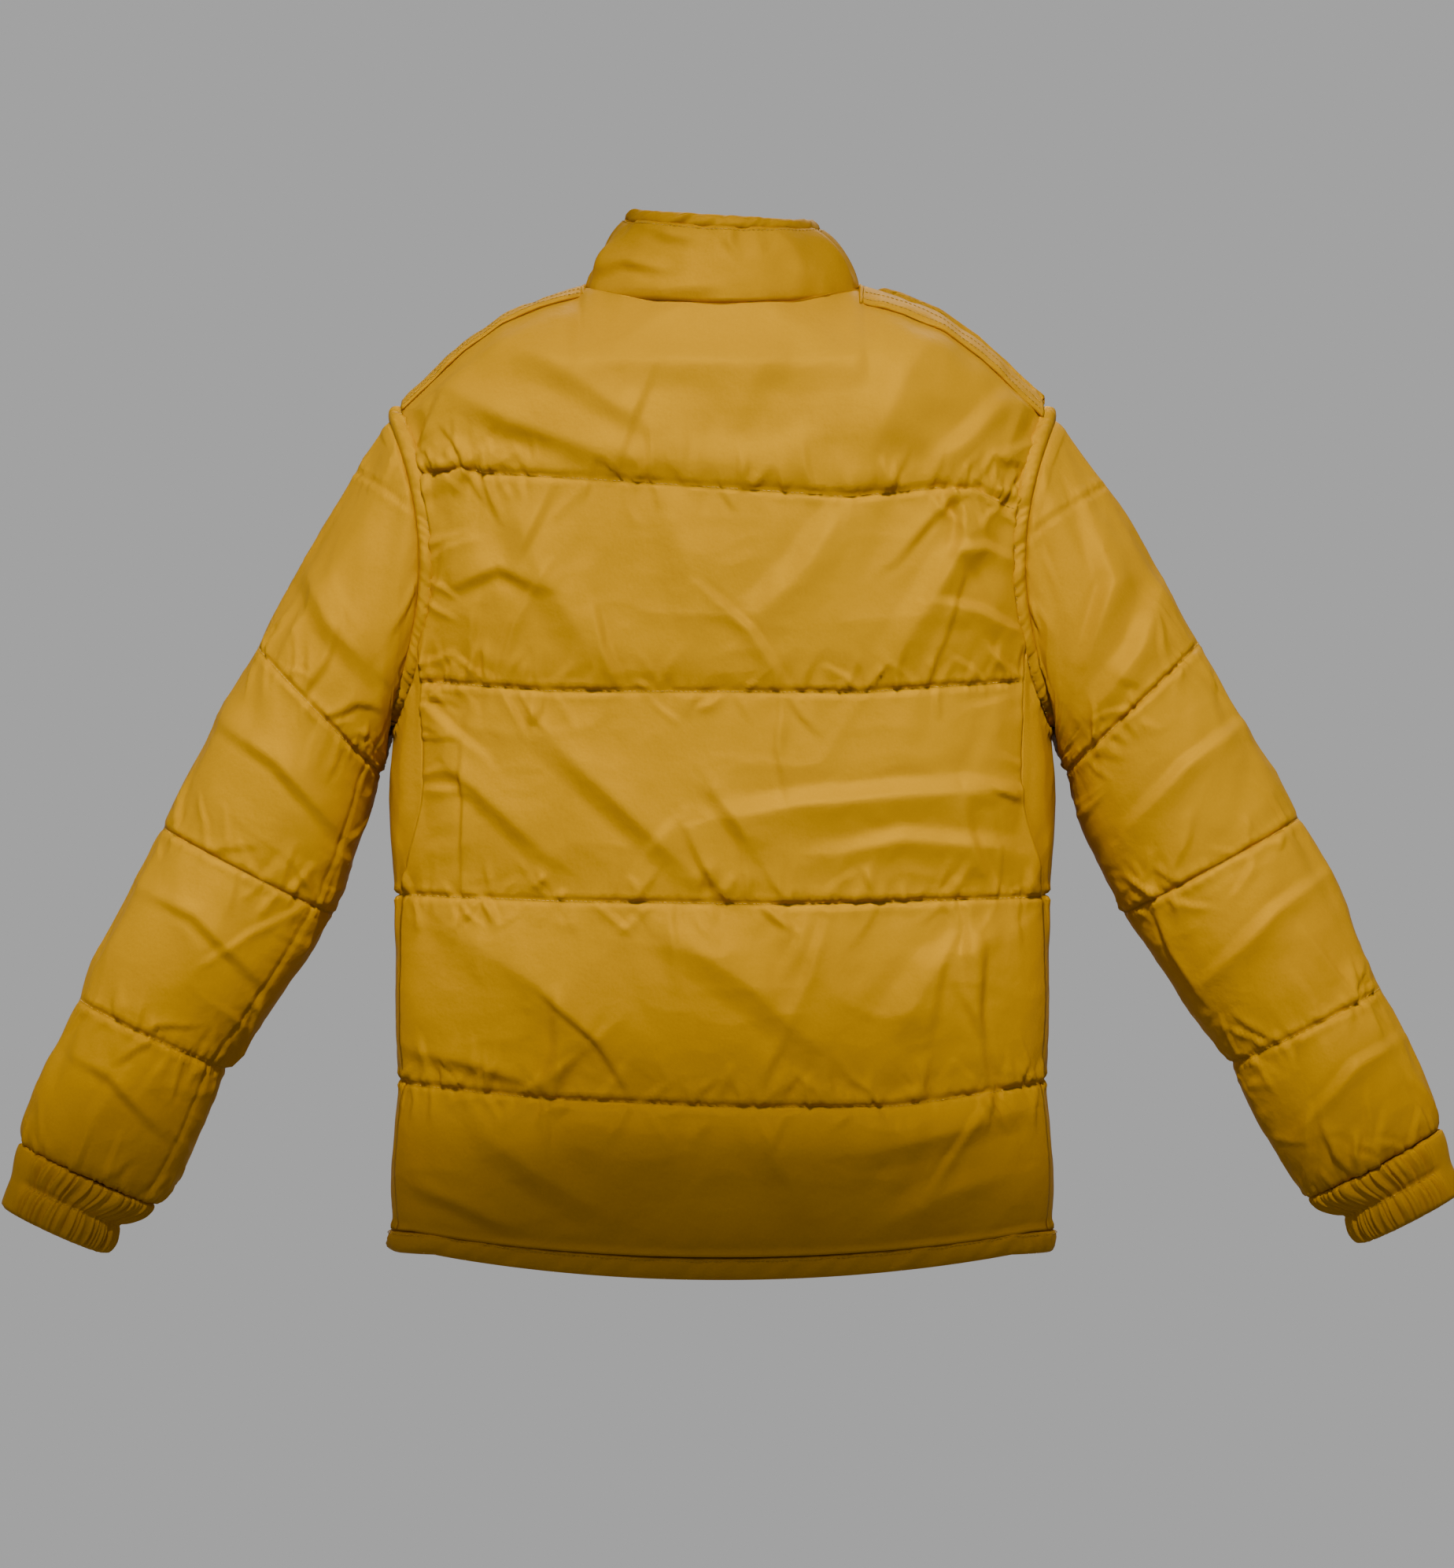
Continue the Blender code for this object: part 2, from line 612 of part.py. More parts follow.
def build_pocket(name, side, pivot, pts, nor):
    """Slanted zipped pocket: welt with its coil, slider and pull, and the bag behind the padding."""
    top, n1 = surface_at(*POCKET_TOP, side)
    low, n2 = surface_at(*POCKET_LOW, side)
    n = n1 + n2
    run = Vector(low - top).normalized()
    out = Vector(n).normalized()
    out = (out - run * out.dot(run)).normalized()
    across = out.cross(run).normalized()
    start = Vector(top) + out * 0.0022
    length = (Vector(low) - Vector(top)).length
    welt = [(-0.0080, -0.0006), (0.0080, -0.0006), (0.0080, 0.0006), (0.0026, 0.0006), (0.0022, 0.0018),
            (-0.0022, 0.0018), (-0.0026, 0.0006), (-0.0080, 0.0006)]
    axes = (across, out, run)
    prism("pocket_zip_" + name, "zip_tape", welt, start, axes, length, pivot)
    body = start + out * 0.0022 + run * 0.0040
    block = [(-0.0038, 0.0), (0.0038, 0.0), (0.0030, 0.0020), (-0.0030, 0.0020)]
    prism("pocket_slider_" + name, "zip_metal", block, body, axes, 0.0085, body)
    lug = body + out * 0.0036 + run * 0.0015
    tab = [(-0.0025, 0.0), (0.0025, 0.0), (0.0032, 0.0260), (0.0020, 0.0290), (-0.0020, 0.0290), (-0.0032, 0.0260)]
    prism("pocket_pull_" + name, "zip_metal", tab, lug - out * 0.0006, (across, run, out), 0.0012, lug)
    layer("pocket_bag_" + name, "lining", pts[1:4, 2:6], nor[1:4, 2:6], POCKET_LAYER, pivot=pivot)


# ---- sleeves ------------------------------------------------------------------------------------
def ring_points(outer, inner, depth, side, count):
    o = np.array([outer[0], DEPTH_MID, outer[1]])
    i = np.array([inner[0], DEPTH_MID, inner[1]])
    mid = (o + i) / 2.0
    half = (o - i) / 2.0
    ring = []
    for k in range(count):
        t = 2.0 * math.pi * k / count
        c = math.copysign(abs(math.cos(t)) ** 0.9, math.cos(t))
        s = math.copysign(abs(math.sin(t)) ** 0.9, math.sin(t))
        p = mid + half * c + np.array([0.0, depth * s, 0.0])
        ring.append((p[0] * side, p[1], p[2]))
    return np.array(ring)


def tube(first, last, steps, keep_ends=(0.0, 0.0)):
    """Rings between two rings, shortened a little at either end."""
    rings = []
    for t in np.linspace(keep_ends[0], 1.0 - keep_ends[1], steps + 1):
        rings.append(first * (1.0 - t) + last * t)
    return rings


def ring_normals(rings):
    """Outward normals of each ring, kept in that ring's own plane."""
    out = []
    for ring in rings:
        mid = ring.mean(axis=0)
        axis = np.zeros(3)
        count = len(ring)
        for k in range(count):
            axis += np.cross(ring[k] - mid, ring[(k + 1) % count] - mid)
        axis = axis / np.linalg.norm(axis)
        row = []
        for k in range(count):
            along = ring[(k + 1) % count] - ring[(k - 1) % count]
            n = np.cross(along, axis)
            n = n / np.linalg.norm(n)
            if np.dot(n, ring[k] - mid) < 0:
                n = -n
            row.append(n)
        out.append(row)
    return np.array(out)


def sleeve_pivots(rings, side):
    shoulder = (side * (ARMHOLE_TOP_X + 0.0060), DEPTH_MID, ARMHOLE_MID_Z + ARMHOLE_HALF + 0.0020)
    outer, inner, depth = rings[1]
    elbow = (side * (outer[0] + inner[0]) / 2.0, DEPTH_MID - depth - 0.0015, (outer[1] + inner[1]) / 2.0)
    return shoulder, elbow


def build_sleeve(name, side, keys):
    count = RING_COUNT
    shoulder, elbow = sleeve_pivots(keys, side)
    start = []
    for k in range(count):
        p = armhole_point(360.0 * k / count, side)
        start.append((p[0] + side * 0.0062, p[1], p[2]))
    start = np.array(start)
    key_rings = [ring_points(outer, inner, depth, side, count) for outer, inner, depth in keys]
    upper = tube(start, key_rings[0], 3)
    upper += tube(key_rings[0], key_rings[1], 2, (0.0, 0.006))[1:]
    lower = tube(key_rings[1], key_rings[2], 2, (0.006, 0.0))
    lower += tube(key_rings[2], key_rings[3], 2, (0.0, 0.006))[1:]
    hole_mid = np.array([0.0, DEPTH_MID, ARMHOLE_MID_Z])
    for part, rings, pivot in (("upper", upper, shoulder), ("lower", lower, elbow)):
        pts = np.array(rings)
        nor = ring_normals(rings)
        if part == "upper":
            spread = (pts[0] - hole_mid) * np.array([0.0, 1.0, 1.0])
            nor[0] = spread / np.linalg.norm(spread, axis=1, keepdims=True)
        layer("sleeve_%s_shell_%s" % (part, name), "shell", pts, nor, SHELL, True, pivot)
        layer("sleeve_%s_padding_%s" % (part, name), "padding", pts, nor, PADDING, True, pivot)
        layer("sleeve_%s_lining_%s" % (part, name), "lining", pts, nor, LINING, True, pivot)
    build_cuff(name, side, keys[3], key_rings[3], elbow, count)


def build_cuff(name, side, key, seam_ring, pivot, count):
    """Gathered cuff with a wide elastic run inside it."""
    o = Vector((key[0][0] * side, DEPTH_MID, key[0][1]))
    i = Vector((key[1][0] * side, DEPTH_MID, key[1][1]))
    across = (o - i).normalized()
    down = Vector((0.0, 1.0, 0.0)).cross(across)
    if down.z > 0:
        down = -down
    mid = (o + i) / 2.0
    end = []
    for k in range(count):
        t = 2.0 * math.pi * k / count
        p = mid + down * CUFF_LENGTH + across * CUFF_END_HALF * math.cos(t)
        p = p + Vector((0.0, CUFF_END_DEPTH * math.sin(t), 0.0))
        end.append(tuple(p))
    end = np.array(end)
    neck = end + np.array(down) * -0.020
    rings = [seam_ring + np.array(down) * 0.0006]
    rings.append(seam_ring * 0.45 + neck * 0.55 + np.array(down) * 0.001)
    rings.append(neck)
    rings.append(end)
    pts = np.array(rings)
    nor = ring_normals(rings)
    layer("cuff_" + name, "shell", pts, nor, (0.0, -0.0020), True, pivot)
    inner = np.array([neck, end - np.array(down) * 0.0015])
    nor = ring_normals(inner)
    layer("cuff_elastic_" + name, "elastic", inner, nor, (-0.0028, -0.0044), True, pivot)


def main():
    clear_scene()
    build_back()
    build_sides()
    build_shoulder_strips()
    build_armhole_bands()
    build_collar()
    build_back_hem()
    build_hanger_loop()
    build_neck_facing()
    build_fronts()
    build_main_slider()
    build_sleeve("left", 1.0, SLEEVE_LEFT)
    build_sleeve("right", -1.0, SLEEVE_RIGHT)


main()
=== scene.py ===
"""Looks of the quilted padded jacket: simulated padding, folds, seams, stitching, zips and light.

p is a grid of points on a panel's base, n its normals, out its finished face. marks are its stitched rows.
"""
import math
import bmesh
import bpy
import numpy as np
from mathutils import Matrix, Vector


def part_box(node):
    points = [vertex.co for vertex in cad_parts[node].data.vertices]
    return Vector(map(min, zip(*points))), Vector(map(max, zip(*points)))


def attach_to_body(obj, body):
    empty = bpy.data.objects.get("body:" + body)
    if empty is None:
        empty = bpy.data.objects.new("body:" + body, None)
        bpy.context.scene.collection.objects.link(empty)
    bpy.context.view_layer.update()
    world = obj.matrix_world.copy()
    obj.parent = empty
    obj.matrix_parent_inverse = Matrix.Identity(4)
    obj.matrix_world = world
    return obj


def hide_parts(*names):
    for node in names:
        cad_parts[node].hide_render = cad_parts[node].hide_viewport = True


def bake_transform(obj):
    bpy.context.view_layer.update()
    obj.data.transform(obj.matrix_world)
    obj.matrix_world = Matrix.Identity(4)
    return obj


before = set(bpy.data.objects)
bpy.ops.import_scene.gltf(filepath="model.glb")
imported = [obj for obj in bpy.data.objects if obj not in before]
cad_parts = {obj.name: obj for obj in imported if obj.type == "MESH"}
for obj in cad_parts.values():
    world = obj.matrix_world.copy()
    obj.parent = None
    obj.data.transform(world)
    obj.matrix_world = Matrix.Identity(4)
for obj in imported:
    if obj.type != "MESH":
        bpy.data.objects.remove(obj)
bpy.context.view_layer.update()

# ---- the frame's dimensions, in metres ----
SIDES = (("left", 1.0), ("right", -1.0))
MID = -0.038  # y of the plane between front and back
HALF_WIDTH = ((-0.71, -0.58, -0.47, -0.38, -0.29, -0.20, 0.05),
              (0.243, 0.2365, 0.2355, 0.238, 0.240, 0.244, 0.250))
BACK_DEPTH = ((-0.71, -0.55, -0.40, -0.25, -0.12, 0.05), (0.074, 0.076, 0.080, 0.086, 0.086, 0.080))
FRONT_DEPTH = 0.084
POWER = 2.6  # of the superellipse through the body
SHOULDER = ((0.0, 0.050, 0.098, 0.130, 0.159, 0.187, 0.237),
            (0.0, 0.002, 0.014, 0.005, -0.007, -0.027, -0.074))
SHOULDER_END, SHOULDER_CLEAR = 0.2335, 0.0006
NECK_X, NECK_BACK, NECK_FRONT, NECK_DROP = 0.100, 0.058, 0.080, 0.074
ROUND = 0.090  # how far below the shoulder the body turns over
HEM_Z, HEM_RISE, HEM_BAND = -0.7015, 0.022, 0.017
HEM_X, HEM_LEAN = 0.2425, 0.0085
HOLE_Z, HOLE_HALF, HOLE_CLEAR = -0.187, 0.113, 0.003
HOLE_TOP, HOLE_LOW, HOLE_BACK, HOLE_FRONT = 0.2365, 0.2395, 0.212, 0.2005
SEAM_BACK, SEAM_FRONT = 0.900, 0.868  # side seams, as shares of the half width
EDGE_X = 0.0165  # front edge beside the zip
CHAIN_Y = MID - FRONT_DEPTH + 0.004
SLEEVES = {  # outer edge, inner edge (both x, z) and half depth of each stitched ring
    "left": (((0.3390, -0.2450), (0.2465, -0.3380), 0.058), ((0.4074, -0.3760), (0.2817, -0.4406), 0.055),
             ((0.4686, -0.5006), (0.3590, -0.5530), 0.048), ((0.5143, -0.6034), (0.4074, -0.6530), 0.041)),
    "right": (((0.3480, -0.2410), (0.2470, -0.3370), 0.058), ((0.4200, -0.3690), (0.2900, -0.4400), 0.055),
              ((0.4800, -0.4920), (0.3700, -0.5480), 0.048), ((0.5260, -0.5930), (0.4210, -0.6480), 0.041)),
}
SHOULDER_TILT = math.radians(15.0)  # the sleeve's bend runs this far below the level
CUFF_LENGTH, CUFF_END, CUFF_DEPTH = 0.048, 0.040, 0.031
POCKET_TOP, POCKET_LOW = (0.1060, -0.4350), (0.1460, -0.5750)
STEP = 0.0046  # between the points of a panel
LAYER = 0.0112  # a panel's thickness
LINER_DEPTHS, BAG_DEPTHS = (0.0135, 0.0141), (0.0118, 0.0128)  # two faces, below a panel's base
CUT_WIDE, CUT_LONG = 1.05, 1.02  # how much larger the cloth is cut than its place


# ---- small maths ----
def smooth(t):
    t = np.clip(t, 0.0, 1.0)
    return t * t * (3.0 - 2.0 * t)


def noise(u, v, seed):
    """Smooth value noise in -1..1 over a unit lattice."""
    u = np.asarray(u, float)
    v = np.asarray(v, float)
    iu = np.floor(u).astype(np.int64)
    iv = np.floor(v).astype(np.int64)

    def grid(a, b):
        h = (a * 374761393 + b * 668265263 + seed * 974634777) & 0x7FFFFFFF
        h = ((h ^ (h >> 13)) * 1274126177) & 0x7FFFFFFF
        return ((h ^ (h >> 16)) & 0xFFFF) / 32767.5 - 1.0

    fu = smooth(u - iu)
    fv = smooth(v - iv)
    low = grid(iu, iv) * (1 - fu) + grid(iu + 1, iv) * fu
    high = grid(iu, iv + 1) * (1 - fu) + grid(iu + 1, iv + 1) * fu
    return low * (1 - fv) + high * fv


def unit(t):
    return np.clip(t, 0.0, 1.0)


def bell(x, width, power=2):
    return np.exp(-((x / width) ** power))


def from_ends(count):
    """Each place's distance from the nearer end of a row of points."""
    return np.minimum(np.arange(count), np.arange(count)[::-1])


def path_length(path):
    """Length along a path up to each of its points."""
    return np.concatenate([[0.0], np.cumsum(np.linalg.norm(np.diff(path, axis=0), axis=1))])


def direction(v):
    return v / np.linalg.norm(v, axis=-1, keepdims=True)


def normals_of(p, closed, inside):
    """Unit normals of a rows x cols grid, facing away from the inside points."""
    up = np.gradient(p, axis=0)
    side = (np.roll(p, -1, axis=1) - np.roll(p, 1, axis=1)) if closed else np.gradient(p, axis=1)
    n = np.cross(side, up)
    n /= np.maximum(np.linalg.norm(n, axis=2, keepdims=True), 1e-12)
    sign = np.sign(np.sum(n * (p - inside), axis=2, keepdims=True))
    sign[sign == 0] = 1.0
    return n * sign


def ease(values, rounds, closed=False):
    """Relax a grid's field along its columns and rows, keeping its border."""
    v = values.copy()
    for _ in range(rounds):
        w = v.copy()
        w[1:-1] = 0.5 * v[1:-1] + 0.25 * (v[2:] + v[:-2])
        if closed:
            w = 0.5 * w + 0.25 * (np.roll(w, 1, axis=1) + np.roll(w, -1, axis=1))
        else:
            u = w.copy()
            u[:, 1:-1] = 0.5 * w[:, 1:-1] + 0.25 * (w[:, 2:] + w[:, :-2])
            w = u
        v = w
    return v


# ---- the body's surface, as in the frame ----
def half_width(z):
    return np.interp(z, *HALF_WIDTH)


def depth_at(z, back):
    return np.interp(z, *BACK_DEPTH) if back else np.full(np.shape(z), FRONT_DEPTH)


def seam_top(x, back):
    x = np.abs(x)
    z = np.interp(x, *SHOULDER)
    if back:
        return z
    share = np.sqrt(unit(1.0 - (x / NECK_X) ** 2))
    return np.where(x < NECK_X, 0.014 - (NECK_DROP + 0.014) * share, z)


def seam_y(x, back):
    x = np.abs(x)
    reach = NECK_BACK if back else NECK_FRONT
    y = reach * np.sqrt(unit(1.0 - (x / NECK_X) ** 2))
    return np.maximum(y, 0.0008)


def body_point(x, z, top_x, back):
    x, z, top_x = np.broadcast_arrays(np.asarray(x, float), np.asarray(z, float), np.asarray(top_x, float))
    share = np.minimum(np.abs(x) / half_width(z), 1.0)
    deep = depth_at(z, back) * (1.0 - share ** POWER) ** (1.0 / POWER)
    turn = unit((seam_top(top_x, back) - z) / ROUND)
    blend = unit((np.abs(top_x) - 0.085) / 0.030)
    neck = np.sin(turn * math.pi / 2.0)
    rise = neck + (np.sqrt(1.0 - (1.0 - turn) ** 2) - neck) * blend
    start = seam_y(top_x, back)
    depth = start + (deep - start) * rise
    return np.stack([x, MID + depth * (1.0 if back else -1.0), z], axis=-1)


def armhole(angle, side):
    """Points of the armhole seam: 0 the shoulder, 90 the back, 180 the underarm, 270 the front."""
    angle = np.asarray(angle, float)
    c = np.cos(np.radians(angle))
    s = np.sin(np.radians(angle))
    back = s >= 0
    x = np.where(back, HOLE_BACK, HOLE_FRONT)
    x = x + (np.where(c > 0, HOLE_TOP, HOLE_LOW) - x) * c * c
    z = HOLE_Z + HOLE_HALF * c
    pb = body_point(x, z, x, True)
    pf = body_point(x, z, x, False)
    p = np.where(back[:, None], pb, pf)
    p[np.abs(s) < 1e-6, 1] = MID
    p[:, 0] *= side
    return p


HOLE_Z_TABLE = {}
for _back in (True, False):
    _a = np.linspace(0.0, 180.0, 91)
    _p = armhole(_a if _back else 360.0 - _a, 1.0)[::-1]
    HOLE_Z_TABLE[_back] = (_p[:, 2], _p[:, 0])


def back_seam(z):
    """Share of the half width where the back meets the side: further round below the chest."""
    return SEAM_BACK + 0.080 * smooth((-np.asarray(z, float) - 0.34) / 0.10)


def edge_x(z, back):
    """Half width of a back or front panel: armhole above, side seam below."""
    hole = np.interp(z, *HOLE_Z_TABLE[back]) - HOLE_CLEAR
    seam = half_width(z) * (back_seam(z) if back else SEAM_FRONT)
    mid_x = HOLE_BACK if back else HOLE_FRONT
    share = SEAM_BACK if back else SEAM_FRONT
    c = math.sqrt(max((share * half_width(-0.24) - mid_x) / (HOLE_LOW - mid_x), 0.0))
    corner = HOLE_Z - HOLE_HALF * c
    mix = smooth((z - corner + 0.012) / 0.024)
    return seam * (1 - mix) + hole * mix


def hem_z(x):
    return HEM_Z + HEM_RISE * (np.minimum(np.abs(x), 0.21) / 0.24) ** 2


# ---- meshes ----
def add_object(name, data):
    obj = bpy.data.objects.new(name, data)
    bpy.context.scene.collection.objects.link(obj)
    return obj


def new_object(name, verts, faces, material, smooth_faces=True):
    mesh = bpy.data.meshes.new(name)
    mesh.from_pydata([tuple(v) for v in verts], [], faces)
    mesh.update()
    mesh.polygons.foreach_set("use_smooth", [smooth_faces] * len(mesh.polygons))
    obj = add_object(name, mesh)
    if material:
        mesh.materials.append(material)
    return obj


def grid_faces(rows, cols, closed, start=0, flip=False):
    faces = []
    for i in range(rows - 1):
        for j in range(cols if closed else cols - 1):
            a = start + i * cols + j
            b = start + i * cols + (j + 1) % cols
            c = start + (i + 1) * cols + (j + 1) % cols
            d = start + (i + 1) * cols + j
            faces.append((a, d, c, b) if flip else (a, b, c, d))
    return faces


def skin(name, outer, inner, material, closed=False):
    """One closed body between an outer and an inner grid."""
    rows, cols = outer.shape[:2]
    half = rows * cols
    verts = np.concatenate([outer.reshape(-1, 3), inner.reshape(-1, 3)])
    faces = grid_faces(rows, cols, closed) + grid_faces(rows, cols, closed, half, True)
    for j in range(cols if closed else cols - 1):
        k = (j + 1) % cols
        faces.append((k, j, half + j, half + k))
        top = (rows - 1) * cols
        faces.append((top + j, top + k, half + top + k, half + top + j))
    if not closed:
        for i in range(rows - 1):
            a, d = i * cols, (i + 1) * cols
            faces.append((a, d, half + d, half + a))
            faces.append((d + cols - 1, a + cols - 1, half + a + cols - 1, half + d + cols - 1))
    obj = new_object(name, verts, faces, material)
    face_out(obj)
    return obj


def face_out(obj):
    work = bmesh.new()
    work.from_mesh(obj.data)
    bmesh.ops.remove_doubles(work, verts=work.verts, dist=1e-6)
    bmesh.ops.recalc_face_normals(work, faces=work.faces)
    if work.calc_volume(signed=True) < 0:
        bmesh.ops.reverse_faces(work, faces=work.faces)
    work.to_mesh(obj.data)
    work.free()
    obj.data.polygons.foreach_set("use_smooth", [True] * len(obj.data.polygons))


def simulate(start, rest, outward, pinned, closed):
    """Inflate a stitched sheet that is held at the pinned points and cut a little larger than its place."""
    last_frame, slide_limit, out_limit, in_limit = 14, 0.003, 0.0075, 0.0030
    rows, cols = start.shape[:2]
    face = np.cross(start[1, 1] - start[1, 0], start[2, 0] - start[1, 0])
    flip = float(np.dot(face, outward[1, 0])) < 0
    obj = new_object("cloth_work", start.reshape(-1, 3), grid_faces(rows, cols, closed, 0, flip), None)
    obj.shape_key_add(name="Basis")
    key = obj.shape_key_add(name="rest")
    key.data.foreach_set("co", rest.reshape(-1).astype(np.float32))
    key.value = 0.0
    group = obj.vertex_groups.new(name="pin")
    group.add([int(i) for i in np.nonzero(pinned.reshape(-1))[0]], 1.0, "REPLACE")
    mod = obj.modifiers.new("Cloth", "CLOTH")
    cloth = mod.settings
    cloth.vertex_group_mass = "pin"
    cloth.rest_shape_key = key
    cloth.quality = 4
    cloth.mass = 0.15
    cloth.tension_stiffness = cloth.compression_stiffness = 12.0
    cloth.shear_stiffness = 4.0
    cloth.bending_stiffness = 1.2
    cloth.tension_damping = cloth.compression_damping = 6.0
    cloth.bending_damping = 0.5
    cloth.air_damping = 3.0
    cloth.use_pressure = True
    cloth.uniform_pressure_force = 1.2
    cloth.effector_weights.gravity = 0.15
    mod.collision_settings.use_collision = False
    mod.collision_settings.use_self_collision = False
    mod.point_cache.frame_start = 1
    mod.point_cache.frame_end = last_frame
    for f in range(1, last_frame + 1):
        bpy.context.scene.frame_set(f)
    shape = obj.evaluated_get(bpy.context.evaluated_depsgraph_get())
    out = np.empty(rows * cols * 3, np.float32)
    shape.data.vertices.foreach_get("co", out)
    bpy.data.objects.remove(obj, do_unlink=True)
    bpy.context.scene.frame_set(1)
    move = out.reshape(rows, cols, 3).astype(float) - start
    rise = np.sum(move * outward, axis=2, keepdims=True)
    slide = move - outward * rise
    size = np.linalg.norm(slide, axis=2, keepdims=True)
    slide *= np.minimum(1.0, slide_limit / np.maximum(size, 1e-9))
    rise = np.where(rise > 0, out_limit * np.tanh(rise / out_limit), in_limit * np.tanh(rise / in_limit))
    return start + ease(slide, 2, closed) + outward * ease(rise, 1, closed)


def levels_grid(levels):
    """Row heights that follow a stack of level curves, lowest first, and which rows are the levels."""
    rows = []
    marks = [0]
    for low, high in zip(levels[:-1], levels[1:]):
        count = max(int(round(float(np.mean(high - low)) / STEP)), 4)
        for k in range(count):
            rows.append(low + (high - low) * k / count)
        marks.append(len(rows))
    rows.append(levels[-1])
    return np.array(rows), marks


def torso_rows(levels):
    """Rows from the hem to the shoulder, closest together where the panel turns over the top."""
    z, marks = levels_grid(levels)
    a, b = marks[-2:]
    t = np.linspace(0.0, 1.0, b - a + 1)[:, None]
    z[a:b + 1] = z[b][None, :] - (z[b] - z[a])[None, :] * (1.0 - np.sin(t * math.pi / 2.0))
    return z, marks


def attach(obj, stick, nodes=()):
    """Hide the nodes a piece stands for, then attach it to the named body it follows, or else bake its
    transform in place.
    """
    if nodes:
        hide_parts(*nodes)
    if isinstance(stick, str):
        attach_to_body(obj, stick)
    else:
        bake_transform(obj)


# ---- materials ----
def new_material(name, colour, rough, sheen=0.0, metal=0.0, spec=0.5):
    mat = bpy.data.materials.new(name)
    mat.use_nodes = True
    shader = mat.node_tree.nodes["Principled BSDF"]
    values = {"Base Color": colour, "Sheen Tint": [c ** 0.4 for c in colour],
              "Specular Tint": [c ** 0.5 for c in colour]}
    for key, value in values.items():
        shader.inputs[key].default_value = (*value, 1.0)
    values = {"Roughness": rough, "Metallic": metal, "Specular IOR Level": spec, "Sheen Weight": sheen,
              "Sheen Roughness": 0.35}
    for key, value in values.items():
        shader.inputs[key].default_value = value
    return mat, mat.node_tree, shader


def add_node(tree, kind, inputs):
    """A shader node with its inputs set to values, or linked from another node's output."""
    node = tree.nodes.new("ShaderNode" + kind)
    for key, value in inputs.items():
        if isinstance(value, bpy.types.NodeSocket):
            tree.links.new(value, node.inputs[key])
        else:
            node.inputs[key].default_value = value
    return node


def coords(tree):
    return add_node(tree, "TexCoord", {}).outputs["Object"]


def noise_node(tree, vector, scale, detail=2.0, rough=0.5):
    inputs = {"Scale": scale, "Detail": detail, "Roughness": rough, "Vector": vector}
    return add_node(tree, "TexNoise", inputs).outputs["Fac"]


def weave_node(tree, vector, pitch):
    """Crossed threads of a plain weave."""
    inputs = {"Scale": 0.314 / pitch, "Distortion": 0.6, "Detail": 1.0, "Vector": vector}
    mix = add_node(tree, "Math", {})
    mix.operation = "MULTIPLY"
    for k, direction in enumerate(("X", "Z")):
        wave = add_node(tree, "TexWave", inputs)
        wave.bands_direction = direction
        tree.links.new(wave.outputs["Fac"], mix.inputs[k])
    return mix.outputs[0]


def bump(tree, shader, height, strength, distance, below=None):
    node = add_node(tree, "Bump", {"Strength": strength, "Distance": distance, "Height": height})
    if below:
        tree.links.new(below.outputs["Normal"], node.inputs["Normal"])
    tree.links.new(node.outputs["Normal"], shader.inputs["Normal"])
    return node


def vary_colour(tree, shader, factor, dark, light):
    ramp = add_node(tree, "ValToRGB", {"Fac": factor})
    for point, place, colour in zip(ramp.color_ramp.elements, (0.35, 0.65), (dark, light)):
        point.position = place
        point.color = (*colour, 1.0)
    tree.links.new(ramp.outputs["Color"], shader.inputs["Base Color"])


def vary_rough(tree, shader, factor, low, high):
    node = add_node(tree, "MapRange", {"To Min": low, "To Max": high, "Value": factor})
    tree.links.new(node.outputs["Result"], shader.inputs["Roughness"])


def taffeta(name, dark, light, rough=(0.50, 0.66), crinkle=0.5):
    mat, tree, shader = new_material(name, light, 0.42, metal=0.10, spec=0.12)
    vector = coords(tree)
    broad, grain = noise_node(tree, vector, 5.0, 4.0), noise_node(tree, vector, 620.0, 3.0, 0.7)
    mottle = add_node(tree, "Mix", {"Factor": 0.45, "A": broad, "B": grain})
    vary_colour(tree, shader, mottle.outputs["Result"], dark, light)
    vary_rough(tree, shader, noise_node(tree, vector, 38.0, 3.0), *rough)
    wide = bump(tree, shader, noise_node(tree, vector, 75.0, 3.0, 0.55), crinkle, 0.0016)
    fine = bump(tree, shader, noise_node(tree, vector, 260.0, 2.0, 0.6), 0.30, 0.0006, wide)
    bump(tree, shader, weave_node(tree, vector, 0.00055), 0.22, 0.00012, fine)
    return mat


def woven(name, colour, pitch, rough, sheen):
    mat, tree, shader = new_material(name, colour, rough, sheen=sheen, spec=0.3)
    vector = coords(tree)
    dark = tuple(c * 0.82 for c in colour)
    vary_colour(tree, shader, noise_node(tree, vector, 60.0, 3.0), dark, colour)
    bump(tree, shader, weave_node(tree, vector, pitch), 0.6, 0.0003)
    return mat


def enamel(name, colour, rough, metal):
    mat, tree, shader = new_material(name, colour, rough, metal=metal)
    vector = coords(tree)
    vary_rough(tree, shader, noise_node(tree, vector, 400.0, 3.0), rough * 0.8, rough * 1.3)
    vary_colour(tree, shader, noise_node(tree, vector, 150.0, 3.0), tuple(c * 0.8 for c in colour), colour)
    bump(tree, shader, noise_node(tree, vector, 700.0, 2.0), 0.15, 0.0002)
    return mat


